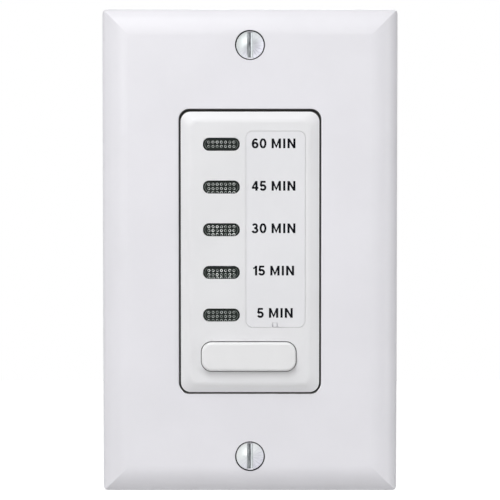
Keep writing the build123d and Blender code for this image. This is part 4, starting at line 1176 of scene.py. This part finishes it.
# %% Rings of painted shade in the countersinks
# The ring lies on the countersink cone, a sheet of painted shade where head and plate leave a shadowed gap.
SHADE_RING_INNER = 3.25 * MM
SHADE_RING_OUTER = 3.5 * MM
SHADE_RING_RISE = 0.025 * MM
SHADE_RING_DIP = 0.2 * MM
SHADE_RING_THICKNESS = 0.05 * MM
shade_ring_front = plate_front - SHADE_RING_RISE
shade_ring_back = shade_ring_front + SHADE_RING_DIP
shade_ring_profile = [
    (SHADE_RING_INNER, shade_ring_back),
    (SHADE_RING_OUTER, shade_ring_front),
    (SHADE_RING_OUTER, shade_ring_front + SHADE_RING_THICKNESS),
    (SHADE_RING_INNER, shade_ring_back + SHADE_RING_THICKNESS),
]
mesh = bmesh.new()
for side in (1, -1):
    turned(mesh, shade_ring_profile, 0.0, side * SCREW_HEIGHT)
piece_from(mesh, "countersink_shade_rings", finishes["washer_rubber"], "timer", smooth=True)

# %% [markdown]
# ## The snap dome
#
# Under the button sits a small switch, and in it a thin steel dome that the plunger presses flat. A rigid
# dome would let the plunger pass through it. So the construction model's dome is replaced by a thinner one
# with a true curve and the vent hole of a real one. The curve is a parabola, which lies inside the model's
# dome all along.

# %% A thinner dome with a true curve
DOME_SHEET = 0.06 * MM
DOME_VENT = 0.18 * MM


def dome_line(radius, rise, steps=8):
    """Radii and heights along a parabola, from the vent hole out to the rim."""
    radii = [DOME_VENT + (radius - DOME_VENT) * step / steps for step in range(steps + 1)]
    return [(r, rise * (1 - (r / radius) ** 2)) for r in radii]


dome_low, dome_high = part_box("tact_switch_dome")
dome_radius = (dome_high.x - dome_low.x) / 2
dome_rise = dome_high.y - dome_low.y
section = dome_line(dome_radius, dome_rise)
section += dome_line(dome_radius - 2 * DOME_SHEET, dome_rise - DOME_SHEET)[::-1]
dome_middle = (dome_low + dome_high) / 2
mesh = bmesh.new()
turned(mesh, [(r, dome_high.y - height) for r, height in section], dome_middle.x, dome_middle.z)
dome = piece_from(mesh, "snap_dome", finishes["sheet_steel"], "timer", smooth=True)
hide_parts("tact_switch_dome")
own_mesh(dome)

# %% [markdown]
# ## Screw threads
#
# The construction model keeps its screws plain, because a thread there costs thousands of faces and fits
# nothing. A thread is a ridge that climbs round the shank, so one loop lays out a small triangle turn by
# turn and joins it to the one before. The ridge fades in and out over the first and last turn, as a cut
# thread does.

# %% Threads
THREAD_PITCH = 0.794 * MM
THREAD_DEPTH = 0.16 * MM
THREAD_ROOT = 0.05 * MM
THREAD_FOOT_SHARE = 0.42
THREAD_FADE_SHARE = 0.2
TURN_STEPS = 28


def thread(mesh, x, z, radius, start_y, stop_y):
    """A helical ridge on a shank that runs along Y."""
    turns = (stop_y - start_y) / THREAD_PITCH - 1
    count = int(turns * TURN_STEPS)
    root = radius - THREAD_ROOT
    loops = []
    for step in range(count + 1):
        turn = math.tau * step / TURN_STEPS
        fade = min(1.0, step / TURN_STEPS, (count - step) / TURN_STEPS)
        y = start_y + THREAD_PITCH * (0.5 + step / TURN_STEPS)
        half = THREAD_PITCH * THREAD_FOOT_SHARE * max(fade, THREAD_FADE_SHARE)
        loop = []
        for r, along in ((root, -half), (radius + THREAD_DEPTH * fade, 0.0), (root, half)):
            loop.append(mesh.verts.new((x + r * math.cos(turn), y + along, z + r * math.sin(turn))))
        loops.append(loop)
    skin(mesh, loops)


# %% Threads on the box screws and the plate screws
BOX_SCREW_RADIUS = 1.75 * MM
BOX_HEAD_DEPTH = 3.5 * MM
PLATE_SCREW_RADIUS = 1.6 * MM
PLATE_HEAD_DEPTH = 7.2 * MM
SCREW_TIP = 0.5 * MM


def threads_of(node, radius, head_depth, name, slot):
    """Threads for the upper and the lower screw of a pair."""
    low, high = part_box(node)
    half_head = (high.x - low.x) / 2
    mesh = bmesh.new()
    for z in (high.z - half_head, low.z + half_head):
        thread(mesh, (low.x + high.x) / 2, z, radius, low.y + head_depth, high.y - SCREW_TIP)
    piece_from(mesh, name, finishes[slot], "timer")


threads_of("box_screws", BOX_SCREW_RADIUS, BOX_HEAD_DEPTH, "box_screw_threads", "screw_zinc")
threads_of("plate_screws", PLATE_SCREW_RADIUS, PLATE_HEAD_DEPTH, "plate_screw_threads", "screw_nickel")
